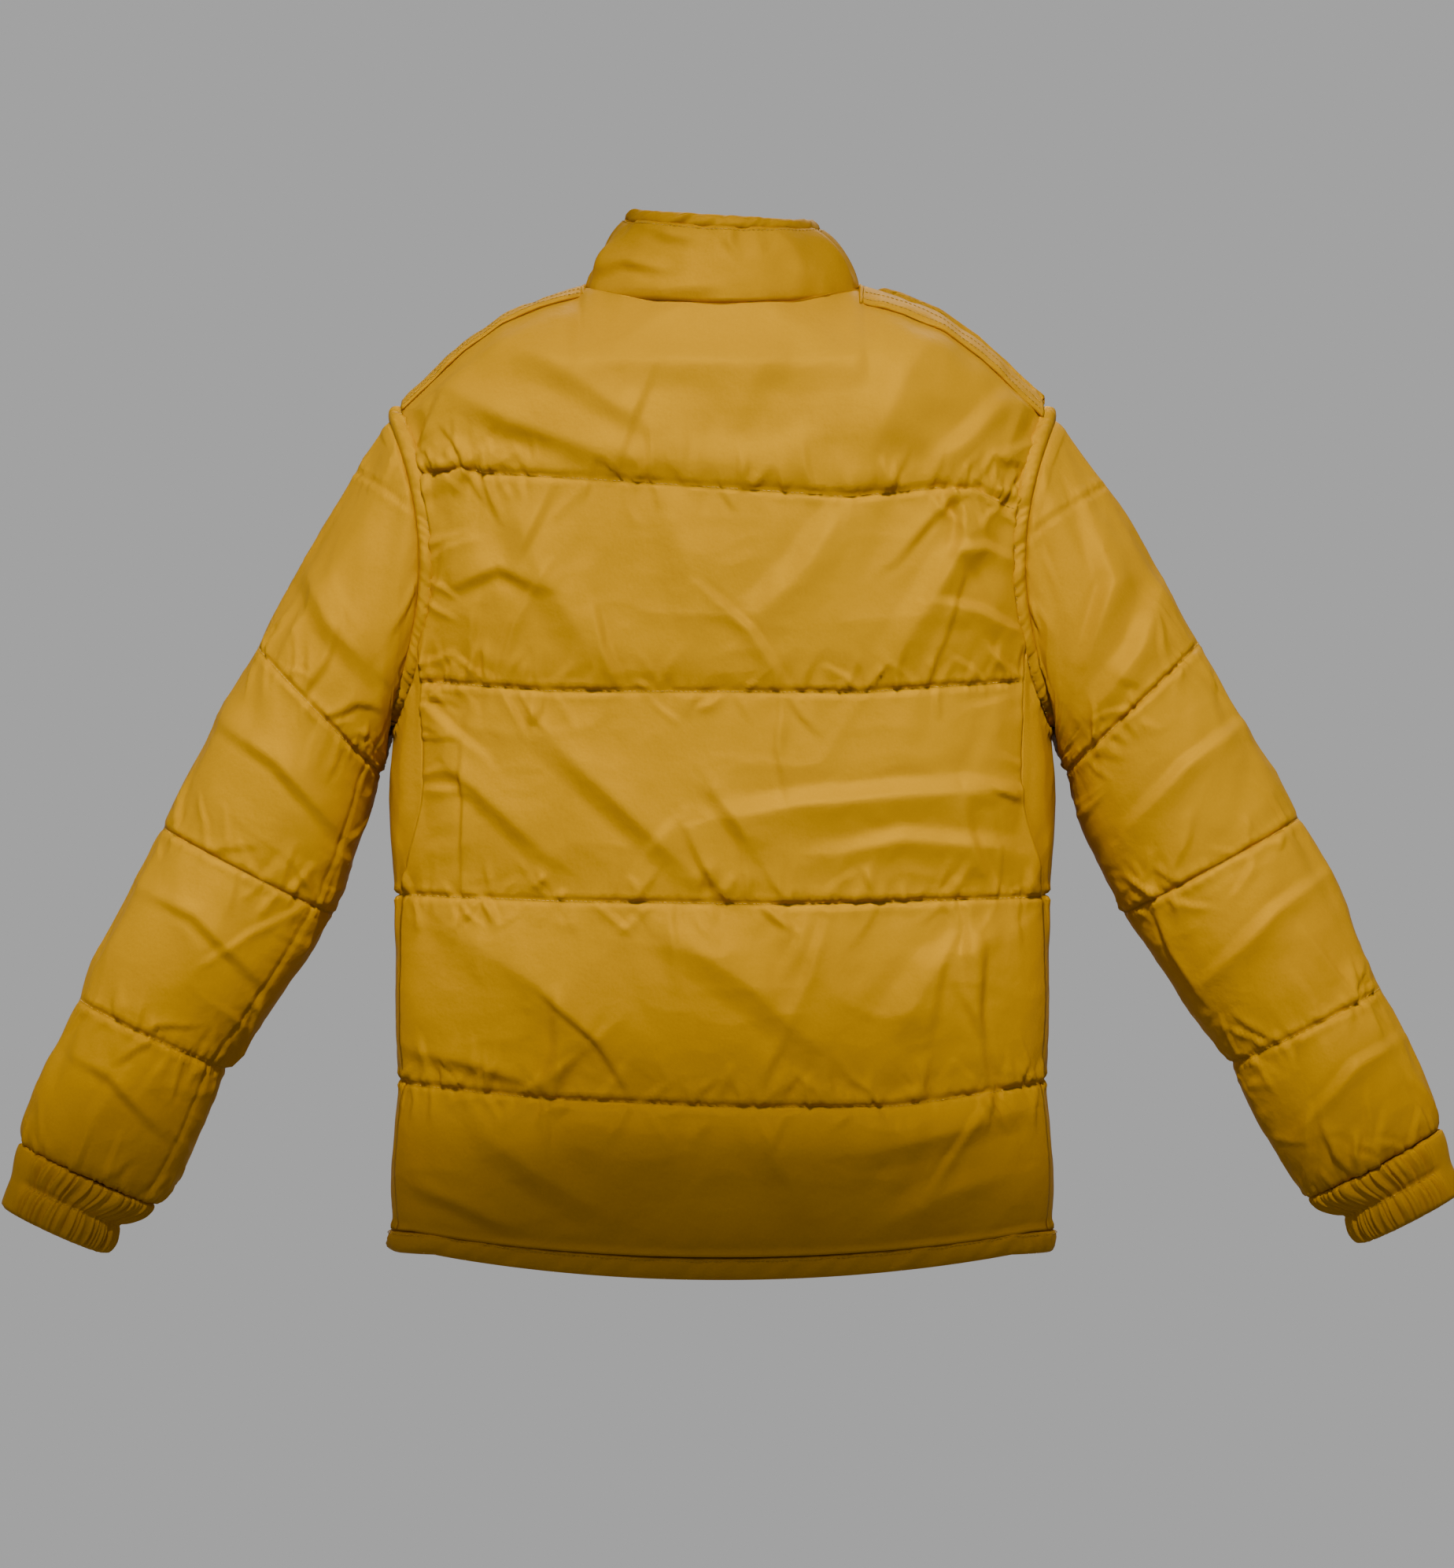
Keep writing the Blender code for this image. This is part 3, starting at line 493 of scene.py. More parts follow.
OCHRE = taffeta("ochre_taffeta", (0.430, 0.208, 0.002), (0.490, 0.245, 0.003))
LINING = taffeta("lining_taffeta", (0.030, 0.026, 0.023), (0.042, 0.037, 0.032), (0.42, 0.55), 0.4)
THREAD = woven("ochre_thread", (0.50, 0.29, 0.045), 0.0004, 0.65, 0.3)
TAPE = woven("zip_tape_weave", (0.44, 0.25, 0.035), 0.0009, 0.8, 0.2)
TEETH = enamel("zip_teeth_resin", (0.46, 0.27, 0.045), 0.38, 0.0)
METAL = enamel("zip_enamel", (0.20, 0.15, 0.09), 0.34, 0.85)


# ---- folds and puckers ----
def to_line(px, pz, line):
    """Signed distance from points to a polyline in X and Z, and how far along it they are."""
    line = np.asarray(line, float)
    best = np.full(px.shape, 9.0)
    sign = np.ones(px.shape)
    along = np.zeros(px.shape)
    lengths = np.linalg.norm(line[1:] - line[:-1], axis=1)
    total = lengths.sum()
    run = 0.0
    for k in range(len(line) - 1):
        a = line[k]
        d = line[k + 1] - a
        t = unit(((px - a[0]) * d[0] + (pz - a[1]) * d[1]) / (d @ d))
        dx = px - a[0] - t * d[0]
        dz = pz - a[1] - t * d[1]
        dist = np.hypot(dx, dz)
        near = dist < best
        best = np.where(near, dist, best)
        side = np.where(d[0] * dz - d[1] * dx >= 0, 1.0, -1.0)
        sign = np.where(near, side, sign)
        along = np.where(near, run + t * lengths[k], along)
        run += lengths[k]
    return best * sign, along / total, total


def fold(px, pz, line, width, height, sharp):
    """A ridge along a line, steep on its left when sharp is positive and on its right when negative."""
    dist, along, _ = to_line(px, pz, line)
    dist = dist * (1.0 if sharp >= 0 else -1.0)
    fade = np.sin(np.pi * unit(along * 0.9 + 0.05)) ** 0.7
    steep = width * (1.0 - 0.62 * min(abs(sharp) * 1.4, 1.0))
    ridge = np.exp(-(np.abs(dist / np.where(dist > 0, steep, width * 1.15)) ** 1.5))
    valley = np.exp(-(np.abs((dist - steep * 1.7) / (steep * 0.9)) ** 1.5))
    return height * fade * (ridge - abs(sharp) * 0.6 * valley)


def creases(px, pz, anchors, seed, count, length, width, height, spread=0.9):
    """Small sharp creases that run out from stitched lines, most of them above the line."""
    pick = np.random.default_rng(seed)
    d = np.zeros(px.shape)
    for _ in range(count):
        line = np.asarray(anchors[pick.integers(len(anchors))], float)
        k = pick.integers(len(line) - 1)
        t = pick.random()
        a = line[k] * (1 - t) + line[k + 1] * t
        run = line[k + 1] - line[k]
        turn = math.atan2(run[1], run[0]) + math.pi / 2 + pick.uniform(-spread, spread)
        turn += math.pi if pick.random() < 0.35 else 0.0
        size = pick.uniform(*length)
        bend = pick.uniform(-0.35, 0.35)
        b = a + size * 0.5 * np.array([math.cos(turn), math.sin(turn)])
        c = b + size * 0.5 * np.array([math.cos(turn + bend), math.sin(turn + bend)])
        wide = width * pick.uniform(0.6, 1.5)
        tall = height * pick.uniform(0.45, 1.2)
        lean = pick.choice((-0.6, 0.6))
        low = np.minimum(np.minimum(a, b), c) - 3.5 * wide
        top = np.maximum(np.maximum(a, b), c) + 3.5 * wide
        near = (px > low[0]) & (px < top[0]) & (pz > low[1]) & (pz < top[1])
        if near.any():
            d[near] += fold(px[near], pz[near], (a, b, c), wide, tall, lean)
    return d


def halve(v, axis, closed):
    """Put a point between every two along one axis of a grid, on a smooth curve through them."""
    v = np.moveaxis(v, axis, 0)
    if closed:
        before, after, more = np.roll(v, 1, 0), np.roll(v, -1, 0), np.roll(v, -2, 0)
        mid = (9 * (v + after) - before - more) / 16
        made = np.stack([v, mid], axis=1).reshape(-1, *v.shape[1:])
    else:
        wide = np.concatenate([2 * v[:1] - v[1:2], v, 2 * v[-1:] - v[-2:-1]])
        mid = (9 * (wide[1:-2] + wide[2:-1]) - wide[:-3] - wide[3:]) / 16
        made = np.zeros((2 * len(v) - 1, *v.shape[1:]))
        made[::2] = v
        made[1::2] = mid
    return np.moveaxis(made, 0, axis)


def refine(marks, closed, *grids):
    """Twice as fine grids for the small creases; the last value is the new stitched rows."""
    grids = [halve(halve(g, 0, False), 1, closed) for g in grids]
    return (*grids, [2 * m for m in marks])


def gathers(dist, u, seed, teeth_seed, teeth_height):
    """Ridges across a stitched line at a distance from it, and the share that the line itself sinks."""
    v = dist / 0.030
    wave = noise(u, v, seed) + 0.55 * noise(u * 2.1, v * 1.5, seed + 7)
    local = 0.012 * (1.0 + 0.5 * noise(u * 0.37, 0.0 * u, seed + 3))
    sink = bell(dist, 0.0022)
    fade = np.exp(-dist / local) * (1.0 - sink)
    teeth = 1.0 - 2.0 * np.abs(((u * 1.15 + 0.6 * noise(u * 0.5, 0.0 * u, teeth_seed)) % 1.0) - 0.5)
    small = teeth_height * teeth * np.exp(-((dist - 0.0035) / 0.0035) ** 2)
    return 0.0016 * wave * fade + small, sink


def puckers(px, pz, line, seed):
    """A stitched line: it sinks in, and the cloth beside it gathers, most of all above it."""
    dist, along, total = to_line(px, pz, line)
    ridge, sink = gathers(np.abs(dist), along * total / 0.0062, seed, seed + 11, 0.0017)
    return ridge * np.where(dist > 0, 1.0, 0.55) - 0.0015 * sink


def row_puckers(p, marks, closed, seed, depth=0.0015):
    """Sunk stitched rows with gathers across them, measured along the panel itself."""
    step = np.linalg.norm(np.diff(p, axis=0), axis=2)
    up = np.concatenate([np.zeros((1, p.shape[1])), np.cumsum(step, axis=0)])
    side = np.linalg.norm(np.diff(p, axis=1), axis=2).mean(axis=0)
    along = np.concatenate([[0.0], np.cumsum(side)])[None, :]
    if closed:
        along = 0.055 * np.abs(np.linspace(-1.0, 1.0, p.shape[1]))[None, :] * 4.0 + 0.3
    d = np.zeros(p.shape[:2])
    for k, m in enumerate(marks):
        dist = np.abs(up - up[m])
        ridge, sink = gathers(dist, along / 0.0064 + 0.0 * dist, seed + 31 * k, seed + 11, 0.0021)
        d += ridge - depth * (0.5 if k in (0, len(marks) - 1) else 1.0) * sink
    return d


def curve(points):
    a = np.array(sorted(points))
    return lambda x: np.interp(x, a[:, 0], a[:, 1])


# quilting lines of the back and folds of the whole jacket as seen from behind, in x and z;
# a fold is a line, a width, a height and how much steeper one of its sides is
BACK_LINES = (
    ((-0.242, -0.5589), (-0.1211, -0.5760), (-0.0070, -0.5762), (0.1246, -0.5703), (0.242, -0.5600)),
    ((-0.242, -0.4263), (-0.0469, -0.4314), (0.1131, -0.4291), (0.242, -0.4246)),
    ((-0.242, -0.2700), (-0.0983, -0.2800), (0.1246, -0.2789), (0.2160, -0.2720), (0.242, -0.2735)),
    ((-0.2200, -0.1480), (-0.1840, -0.1335), (-0.1611, -0.1331), (-0.0954, -0.1400), (0.0674, -0.1291),
     (0.1703, -0.1229), (0.1874, -0.1180), (0.2230, -0.1240)),
)
SIDE_EDGES = (
    ((0.236, -0.075), (0.218, -0.140), (0.214, -0.200), (0.220, -0.270), (0.214, -0.360)),
    ((-0.214, -0.360), (-0.220, -0.270), (-0.214, -0.200), (-0.218, -0.140), (-0.236, -0.075)),
)
COLLAR_FOLDS = (
    (((0.090, 0.024), (0.070, 0.031), (0.042, 0.024)), 0.0060, 0.0042, 0.5),
    (((0.058, 0.060), (0.038, 0.050), (0.018, 0.046)), 0.0065, 0.0026, 0.4),
    (((0.078, 0.012), (0.040, 0.009), (0.000, 0.012)), 0.0060, 0.0022, 0.3),
    (((-0.066, 0.054), (-0.079, 0.036), (-0.093, 0.016)), 0.0060, 0.0050, -0.6),
    (((-0.010, 0.060), (-0.004, 0.045), (-0.014, 0.032)), 0.0050, 0.0022, 0.4),
    (((-0.034, 0.058), (-0.052, 0.034), (-0.060, 0.012)), 0.0080, 0.0026, 0.3),
)
FOLDS = (
    (((0.160, -0.038), (0.080, -0.044), (-0.060, -0.046), (-0.160, -0.034)), 0.016, 0.0055, 0.3),
    (((0.205, -0.058), (0.150, -0.086), (0.100, -0.104), (0.056, -0.114)), 0.013, 0.0056, 0.4),
    (((0.150, -0.030), (0.095, -0.062), (0.056, -0.088), (0.030, -0.104)), 0.012, 0.0040, 0.3),
    (((-0.150, -0.024), (-0.128, -0.060), (-0.108, -0.100), (-0.096, -0.134)), 0.019, 0.0060, 0.30),
    (((-0.205, -0.066), (-0.180, -0.096), (-0.150, -0.120)), 0.011, 0.0050, 0.4),
    (((-0.050, -0.020), (-0.020, -0.060), (-0.004, -0.100)), 0.013, 0.0030, 0.2),
    (((0.150, -0.146), (0.128, -0.196), (0.082, -0.266)), 0.017, 0.0055, 0.35),
    (((0.196, -0.205), (0.160, -0.190), (0.128, -0.205)), 0.009, 0.0045, 0.5),
    (((0.040, -0.148), (0.020, -0.200), (0.022, -0.268)), 0.016, 0.0040, 0.25),
    (((-0.092, -0.142), (-0.060, -0.190), (-0.020, -0.232)), 0.015, 0.0058, 0.4),
    (((-0.180, -0.160), (-0.150, -0.210), (-0.120, -0.262)), 0.014, 0.0055, 0.35),
    (((-0.208, -0.186), (-0.186, -0.176), (-0.160, -0.180)), 0.007, 0.0040, 0.5),
    (((-0.210, -0.236), (-0.184, -0.222), (-0.150, -0.216)), 0.007, 0.0040, 0.5),
    (((0.010, -0.372), (-0.060, -0.360), (-0.140, -0.353), (-0.214, -0.350)), 0.013, 0.0070, -0.45),
    (((0.010, -0.345), (-0.010, -0.370), (-0.024, -0.396)), 0.009, 0.0046, 0.4),
    (((0.125, -0.312), (0.070, -0.362), (0.020, -0.410)), 0.015, 0.0064, 0.45),
    (((0.205, -0.322), (0.160, -0.362), (0.122, -0.398)), 0.012, 0.0050, 0.4),
    (((-0.206, -0.392), (-0.130, -0.385), (-0.070, -0.398)), 0.010, 0.0048, 0.4),
    (((0.040, -0.450), (-0.020, -0.490), (-0.075, -0.540)), 0.018, 0.0064, 0.4),
    (((0.226, -0.536), (0.170, -0.548), (0.120, -0.566)), 0.009, 0.0046, 0.4),
    (((0.190, -0.452), (0.130, -0.490), (0.070, -0.540)), 0.018, 0.0050, 0.3),
    (((-0.200, -0.452), (-0.150, -0.480), (-0.120, -0.530)), 0.016, 0.0052, 0.35),
    (((-0.100, -0.610), (-0.160, -0.596), (-0.216, -0.580)), 0.013, 0.0050, 0.4),
    (((0.180, -0.590), (0.130, -0.625), (0.080, -0.655)), 0.015, 0.0050, 0.35),
    (((0.226, -0.632), (0.190, -0.645), (0.150, -0.664)), 0.009, 0.0040, 0.4),
    (((-0.020, -0.592), (-0.050, -0.630), (-0.056, -0.665)), 0.015, 0.0044, 0.3),
    (((-0.206, -0.625), (-0.160, -0.640), (-0.110, -0.664)), 0.012, 0.0044, 0.3),
    (((0.246, -0.176), (0.262, -0.196), (0.256, -0.232), (0.243, -0.264)), 0.0075, -0.0150, 0.2),
    (((0.300, -0.190), (0.282, -0.230), (0.252, -0.262)), 0.012, 0.0055, 0.4),
    (((0.362, -0.300), (0.318, -0.330), (0.276, -0.380)), 0.009, 0.0042, 0.5),
    (((0.420, -0.420), (0.378, -0.440), (0.330, -0.490)), 0.008, 0.0036, 0.5),
    (((0.470, -0.540), (0.440, -0.555), (0.400, -0.600)), 0.007, 0.0032, 0.5),
    (((-0.262, -0.150), (-0.280, -0.200), (-0.262, -0.260)), 0.011, 0.0060, 0.5),
    (((-0.318, -0.200), (-0.300, -0.250), (-0.262, -0.300)), 0.012, 0.0055, 0.4),
    (((-0.380, -0.300), (-0.336, -0.330), (-0.290, -0.380)), 0.009, 0.0042, 0.5),
    (((-0.438, -0.410), (-0.398, -0.436), (-0.346, -0.490)), 0.008, 0.0038, 0.5),
    (((-0.490, -0.530), (-0.456, -0.548), (-0.416, -0.596)), 0.007, 0.0034, 0.5),
)


def back_detail(p, n):
    """Displacement along the normal of what faces the back: folds, then stitched lines, then creases."""
    seed = 100
    face = smooth((n[..., 1] + 0.15) / 0.55)
    x, z = p[..., 0], p[..., 2]
    d = np.zeros(x.shape)
    for line, width, height, sharp in FOLDS:
        d += fold(x, z, line, width, height, sharp)
    near = np.min([np.abs(to_line(x, z, line)[0]) for line in BACK_LINES], axis=0)
    d *= face * (1.0 - 0.85 * bell(near, 0.008))
    for k, line in enumerate(BACK_LINES):
        d += puckers(x, z, line, seed + 13 * k) * face
    d += creases(x, z, BACK_LINES, seed + 1, 400, (0.010, 0.040), 0.0032, 0.0021) * face
    d += creases(x, z, SIDE_EDGES, seed + 2, 80, (0.012, 0.050), 0.0042, 0.0022, 0.7) * face
    d += creases(x, z, BACK_LINES, seed + 3, 38, (0.055, 0.110), 0.0064, 0.0034) * face
    calm = 1.0 - 0.75 * smooth((z + 0.125) / 0.03)
    return d + ridges(x, z, seed + 5, 0.0009) * calm * face


# ---- padded panels ----
def crossed(p, n, d):
    return p + n * d[..., None]


def crumple(u, v, seed, size):
    """Broad and small unevenness of loose wadding."""
    return size * (0.6 * noise(u / 0.075, v / 0.060, seed) + 0.3 * noise(u / 0.032, v / 0.028, seed + 1)
                   + 0.14 * noise(u / 0.014, v / 0.016, seed + 2))


def ridges(u, v, seed, size):
    """Crisp wandering ridges of a thin, stiff cloth."""
    bend = 0.35 * noise(u / 0.06, v / 0.05, seed + 4)
    wide = 1.0 - np.abs(noise(u / 0.052 + bend, v / 0.040 + bend, seed))
    small = 1.0 - np.abs(noise(u / 0.024 - bend, v / 0.020 + bend, seed + 1))
    return size * (wide ** 3 + 0.45 * small ** 3 - 0.45)


def pillow(marks, rows, height):
    """Height of the wadding between stitched rows."""
    t = np.zeros(rows)
    for a, b in zip(marks[:-1], marks[1:]):
        s = (np.arange(a, b + 1) - a) / max(b - a, 1)
        t[a:b + 1] = (4 * s * (1 - s)) ** 0.75
    return height * t


def inflate(p, n, marks, closed, seed, along, across, cut, height=0.0058, rim=0.0026):
    """Simulate one stitched, padded panel and return its outer surface."""
    seam_depth = 0.0026
    rows, cols = p.shape[:2]
    pin = np.zeros((rows, cols), bool)
    pin[marks] = True
    if not closed:
        pin[:, 0] = pin[:, -1] = True
    rise = pillow(marks, rows, height)[:, None] * np.ones((1, cols))
    rough = crumple(along, across, seed, 0.0027) * np.where(pin, 0.15, 1.0)
    border = np.zeros((rows, cols))
    border[0] = border[-1] = 1.0
    if not closed:
        edge = unit(from_ends(cols) / 6.0)[None, :]
        low = smooth((-p[..., 2] - 0.33) / 0.08)
        rise *= np.maximum(edge ** 0.6, low)
        rough *= edge
        border[:, 0] = border[:, -1] = 1.0
    border = np.maximum(border, ease(border, 3, closed))
    if not closed:
        border[1:-1] *= 1.0 - low[1:-1]
    start = p + n * (rise - seam_depth + rim * border + rough)[..., None]
    return simulate(start, cut(start), n, pin, closed)


def wider(start):
    """A torso panel cut wider and longer than its place."""
    r = start.copy()
    r[..., 0] *= CUT_WIDE
    r[..., 1] = MID + (r[..., 1] - MID) * CUT_WIDE
    r[..., 2] *= CUT_LONG
    return r


def longer(start):
    """A sleeve cut wider and longer than its place."""
    mid = start.mean(axis=1, keepdims=True)
    r = mid + (start - mid) * CUT_WIDE
    return r[0].mean(axis=0) + (r - r[0].mean(axis=0)) * CUT_LONG


TORSO_MID = np.array([0.0, MID, -0.30])


def torso_surface(p, n, marks, seed, along, mid=TORSO_MID, **options):
    """One panel of the torso, inflated and refined: face, base, base normals, rows and face normals."""
    out = inflate(p, n, marks, False, seed, along, p[..., 2], wider, **options)
    out, p, n, marks = refine(marks, False, out, p, n)
    return out, p, n, marks, normals_of(out, False, mid)


def spaced(first, last, length):
    return np.linspace(first, last, max(int(length / STEP), 6))


def stretched(values, count):
    """The same run of values at another number of points."""
    return np.interp(np.linspace(0.0, 1.0, count), np.linspace(0.0, 1.0, len(values)), values)


def inward(x):
    """How much of the hem's tuck there is across the back."""
    return 1.0 - np.minimum(np.abs(x) / 0.215, 1.0) ** 4


def make_back():
    base = spaced(-1.0, 1.0, 0.46)
    columns = 0.62 * base + 0.38 * np.sin(base * math.pi / 2.0)
    xs = columns * 0.222
    levels = [hem_z(xs) + HEM_BAND] + [curve(line)(xs) for line in BACK_LINES]
    levels.append(seam_top(columns * SHOULDER_END, True) - SHOULDER_CLEAR)
    z, marks = torso_rows(levels)
    x = columns[None, :] * edge_x(z, True)
    p = body_point(x, z, np.broadcast_to(columns * SHOULDER_END, z.shape), True)
    n = normals_of(p, False, TORSO_MID)
    out, p, n, marks, n2 = torso_surface(p, n, marks, 11, p[..., 0])
    out = crossed(out, n2, back_detail(out, n2))
    top_x = np.abs(stretched(columns, out.shape[1])) * SHOULDER_END
    under = seam_top(top_x, True)[None, :] - out[..., 2]
    bed = bell(under, 0.015, 4) * smooth((top_x - 0.098) / 0.012)[None, :]
    out = out * (1.0 - bed[..., None]) + p * bed[..., None]
    lean = smooth((-out[..., 2] - 0.585) / 0.10)
    swell = bell(out[..., 2] + 0.602, 0.028)
    out[..., 1] += (0.0055 * swell - HEM_LEAN * lean) * inward(out[..., 0])
    panel = skin("back_quilted_panel", out, p - n * LAYER, OCHRE)
    attach(panel, "torso", ("back_shell", "back_padding"))
    liner("back_liner", "back_lining", p, n, 21, "torso")
    return out, normals_of(out, False, TORSO_MID), marks[1:-1]


def liner(name, node, p, n, seed, stick, closed=False):
    """Loose lining sheet inside a padded panel."""
    q, m = (g[::2] if closed else g[::2, ::2] for g in (p, n))
    wave = crumple(q[..., 0] + q[..., 1], q[..., 2], seed, 0.0016)
    outer, inner = (crossed(q, m, wave - depth) for depth in LINER_DEPTHS)
    sheet = skin(name, outer, inner, LINING, closed)
    attach(sheet, stick, [node])


# ---- stitching ----
def stitches(name, path, normals, stick):
    """A row of short raised threads along a path of points."""
    length, pitch, thick, lift, corners = 0.0026, 0.0034, 0.00030, 0.00035, 5
    path = np.asarray(path, float)
    normals = np.asarray(normals, float)
    at = path_length(path)

    def place(s, values):
        return np.array([np.interp(s, at, values[:, k]) for k in range(3)])

    verts, faces = [], []
    for s in np.arange(pitch, at[-1] - pitch, pitch):
        a, b, n = place(s, path), place(s + length, path), place(s, normals)
        n /= np.linalg.norm(n)
        side = np.cross((b - a) / np.linalg.norm(b - a), n)
        start = len(verts)
        for t, fat, high in ((0.0, 0.5, -0.3), (0.25, 1.0, 0.8), (0.75, 1.0, 0.8), (1.0, 0.5, -0.3)):
            c = a + (b - a) * t + n * lift * high
            for q in range(corners):
                turn = 2 * math.pi * q / corners
                verts.append(c + (side * math.cos(turn) + n * math.sin(turn)) * thick * fat)
        faces += grid_faces(4, corners, True, start)
        faces.append(tuple(start + q for q in reversed(range(corners))))
        faces.append(tuple(start + 3 * corners + q for q in range(corners)))
    obj = new_object(name, verts, faces, THREAD)
    face_out(obj)
    attach(obj, stick)


def row_stitches(name, p, n, marks, stick, closed=False):
    """Stitching along quilted rows of a finished surface."""
    for k, m in enumerate(marks):
        row, nor = (np.concatenate([g[m], g[m][:1]]) if closed else g[m] for g in (p, n))
        stitches("%s_%d" % (name, k + 1), row, nor, stick)


# ---- tubes and rolls ----
def roll(name, centre, up, out, half_up, half_out, seed, crease, closed=False, lean=1.0, power=0.8,
         pitch=0.011, ticks=0.0):
    """A padded fold of cloth along a path, with short slanting creases."""
    turns, slant, tick_pitch = 18, 0.006, 0.0062
    centre = np.asarray(centre, float)
    count = len(centre)
    at = path_length(centre)
    total = at[-1] + np.linalg.norm(centre[0] - centre[-1])
    grid = np.zeros((count, turns, 3))
    for q in range(turns):
        t = 2 * math.pi * q / turns
        c = math.copysign(abs(math.cos(t)) ** power, math.cos(t))
        s = math.copysign(abs(math.sin(t)) ** power, math.sin(t))
        place = at + lean * c * slant
        u = place / pitch
        wave = noise(u, 0.0 * u + 2.0 * s, seed) + 0.6 * noise(u * 2.3, 0.0 * u + s, seed + 5)
        wave = wave * crease
        if closed:
            wave *= unit(np.minimum(at, total - at) / 0.012)
        wave -= ticks * np.abs(2.0 * ((place / tick_pitch) % 1.0) - 1.0) ** 4
        grid[:, q] = centre + up * (half_up * c) + out * (half_out * s + wave[:, None] * max(s, -0.2))
    whole = count * turns
    faces = [tuple(k % whole for k in face) for face in grid_faces(count + int(closed), turns, True)]
    if not closed:
        faces.append(tuple(range(turns)))
        faces.append(tuple(reversed(range(whole - turns, whole))))
    obj = new_object(name, grid.reshape(-1, 3), faces, OCHRE)
    face_out(obj)
    return obj


# ---- sides ----
def make_side(name, side):
    inside = np.array([0.0, MID, -0.45])
    turn_f = -math.acos(SEAM_FRONT ** (POWER / 2.0))
    turn_b = math.acos(SEAM_BACK ** (POWER / 2.0))
    across = np.linspace(0.0, 1.0, 34)
    turns = turn_b + (turn_f - turn_b) * across
    share = np.cos(turns) ** (2.0 / POWER)
    mid_x = np.where(turns >= 0, HOLE_BACK, HOLE_FRONT)
    reach = unit((share * HOLE_LOW + 0.004 - mid_x) / (HOLE_LOW - mid_x))
    top = HOLE_Z - HOLE_HALF * np.sqrt(reach) - 0.004
    heights = (float(hem_z(0.215)) + HEM_BAND, -0.5595, -0.4255)
    z, marks = levels_grid([np.full(top.shape, h) for h in heights] + [top])
    turn_b = np.arccos(back_seam(z) ** (POWER / 2.0))
    turns = turn_b + (turn_f - turn_b) * across[None, :]
    deep = np.where(turns >= 0, depth_at(z, True), FRONT_DEPTH) * np.abs(np.sin(turns)) ** (2.0 / POWER)
    x = side * half_width(z) * np.cos(turns) ** (2.0 / POWER)
    p = np.stack([x, MID + np.sign(turns) * deep, z], axis=-1)
    n = normals_of(p, False, inside)
    out, p, n, marks, n2 = torso_surface(p, n, marks, 61, p[..., 1] * 2, inside, height=0.0052)
    out = crossed(out, n2, row_puckers(out, marks, False, 300, 0.0008))
    panel = skin("side_quilted_panel_" + name, out, p - n * LAYER, OCHRE)
    attach(panel, "torso", ("side_panel_" + name, "side_padding_" + name))
    liner("side_liner_" + name, "side_lining_" + name, p, n, 71, "torso")
    row_stitches("side_stitching_" + name, out, n2, marks[1:-1], "torso")


# ---- fronts ----
FRONT_LINES = (
    ((0.0, -0.572), (0.12, -0.570), (0.245, -0.5595)),
    ((0.0, -0.431), (0.12, -0.429), (0.245, -0.4255)),
    ((0.0, -0.278), (0.12, -0.276), (0.245, -0.272)),
    ((0.0, -0.150), (0.12, -0.140), (0.245, -0.134)),
)


def front_stick(name):
    """The front's stick: the torso, a name for the front and two points below the chest; attach bakes a
    piece with it in place.
    """
    y = MID - FRONT_DEPTH
    return ("torso", name + "_front", (0.0, y, -0.100), (0.0, y, -0.420))


def make_front(name, side):
    stick = front_stick(name)
    columns = spaced(0.0, 1.0, 0.23)
    low_x = EDGE_X + columns * (0.205 - EDGE_X)
    top_x = EDGE_X + columns * (SHOULDER_END - EDGE_X)
    foot = hem_z(low_x) + HEM_BAND - 0.0090 * smooth((0.205 - low_x) / 0.08)
    levels = [foot] + [curve(line)(low_x) for line in FRONT_LINES]
    z, marks = torso_rows(levels + [seam_top(top_x, False) - SHOULDER_CLEAR])
    x = EDGE_X + columns[None, :] * (edge_x(z, False) - EDGE_X)
    p = body_point(x, z, np.broadcast_to(top_x, z.shape), False)
    throat = unit((z + 0.090) / 0.060) * unit(1.0 - columns / 0.25)[None, :]
    p[..., 1] = p[..., 1] * (1 - throat) + np.minimum(p[..., 1], MID - 0.074) * throat
    p[..., 0] *= side
    n = normals_of(p, False, TORSO_MID)
    out, p, n, marks, n2 = torso_surface(p, n, marks, 41, p[..., 0])
    top_x = stretched(top_x, out.shape[1])
    flip, height = out[..., 0] * side, out[..., 2]
    d = row_puckers(out, marks, False, 200)
    d += creases(flip, height, FRONT_LINES, 210 + int(side), 150, (0.010, 0.042), 0.0038, 0.0016)
    d += creases(flip, height, FRONT_LINES, 220 + int(side), 16, (0.060, 0.110), 0.0090, 0.0030)
    d += ridges(flip, height, 230 + int(side), 0.0010)
    out = crossed(out, n2, d)
    under = unit(seam_top(top_x, False)[None, :] - out[..., 2])
    puff = (1.0 - np.exp(-under / 0.0015)) * bell(under, 0.016) * smooth((top_x - 0.100) / 0.020)
    out[..., 2] += (0.0040 if side > 0 else 0.0140) * puff
    near = np.abs(to_line(flip, out[..., 2], (POCKET_TOP, POCKET_LOW))[0])
    bed = bell(near, 0.015, 4)[..., None]
    out = out * (1 - bed) + (p - n * 0.0006) * bed
    panel = skin("front_quilted_panel_" + name, out, p - n * LAYER, OCHRE)
    attach(panel, stick, ("front_shell_" + name, "front_padding_" + name))
    liner("front_liner_" + name, "front_lining_" + name, p, n, 51, stick)
    row_stitches("front_stitching_" + name, out, normals_of(out, False, TORSO_MID), marks[1:-1], stick)


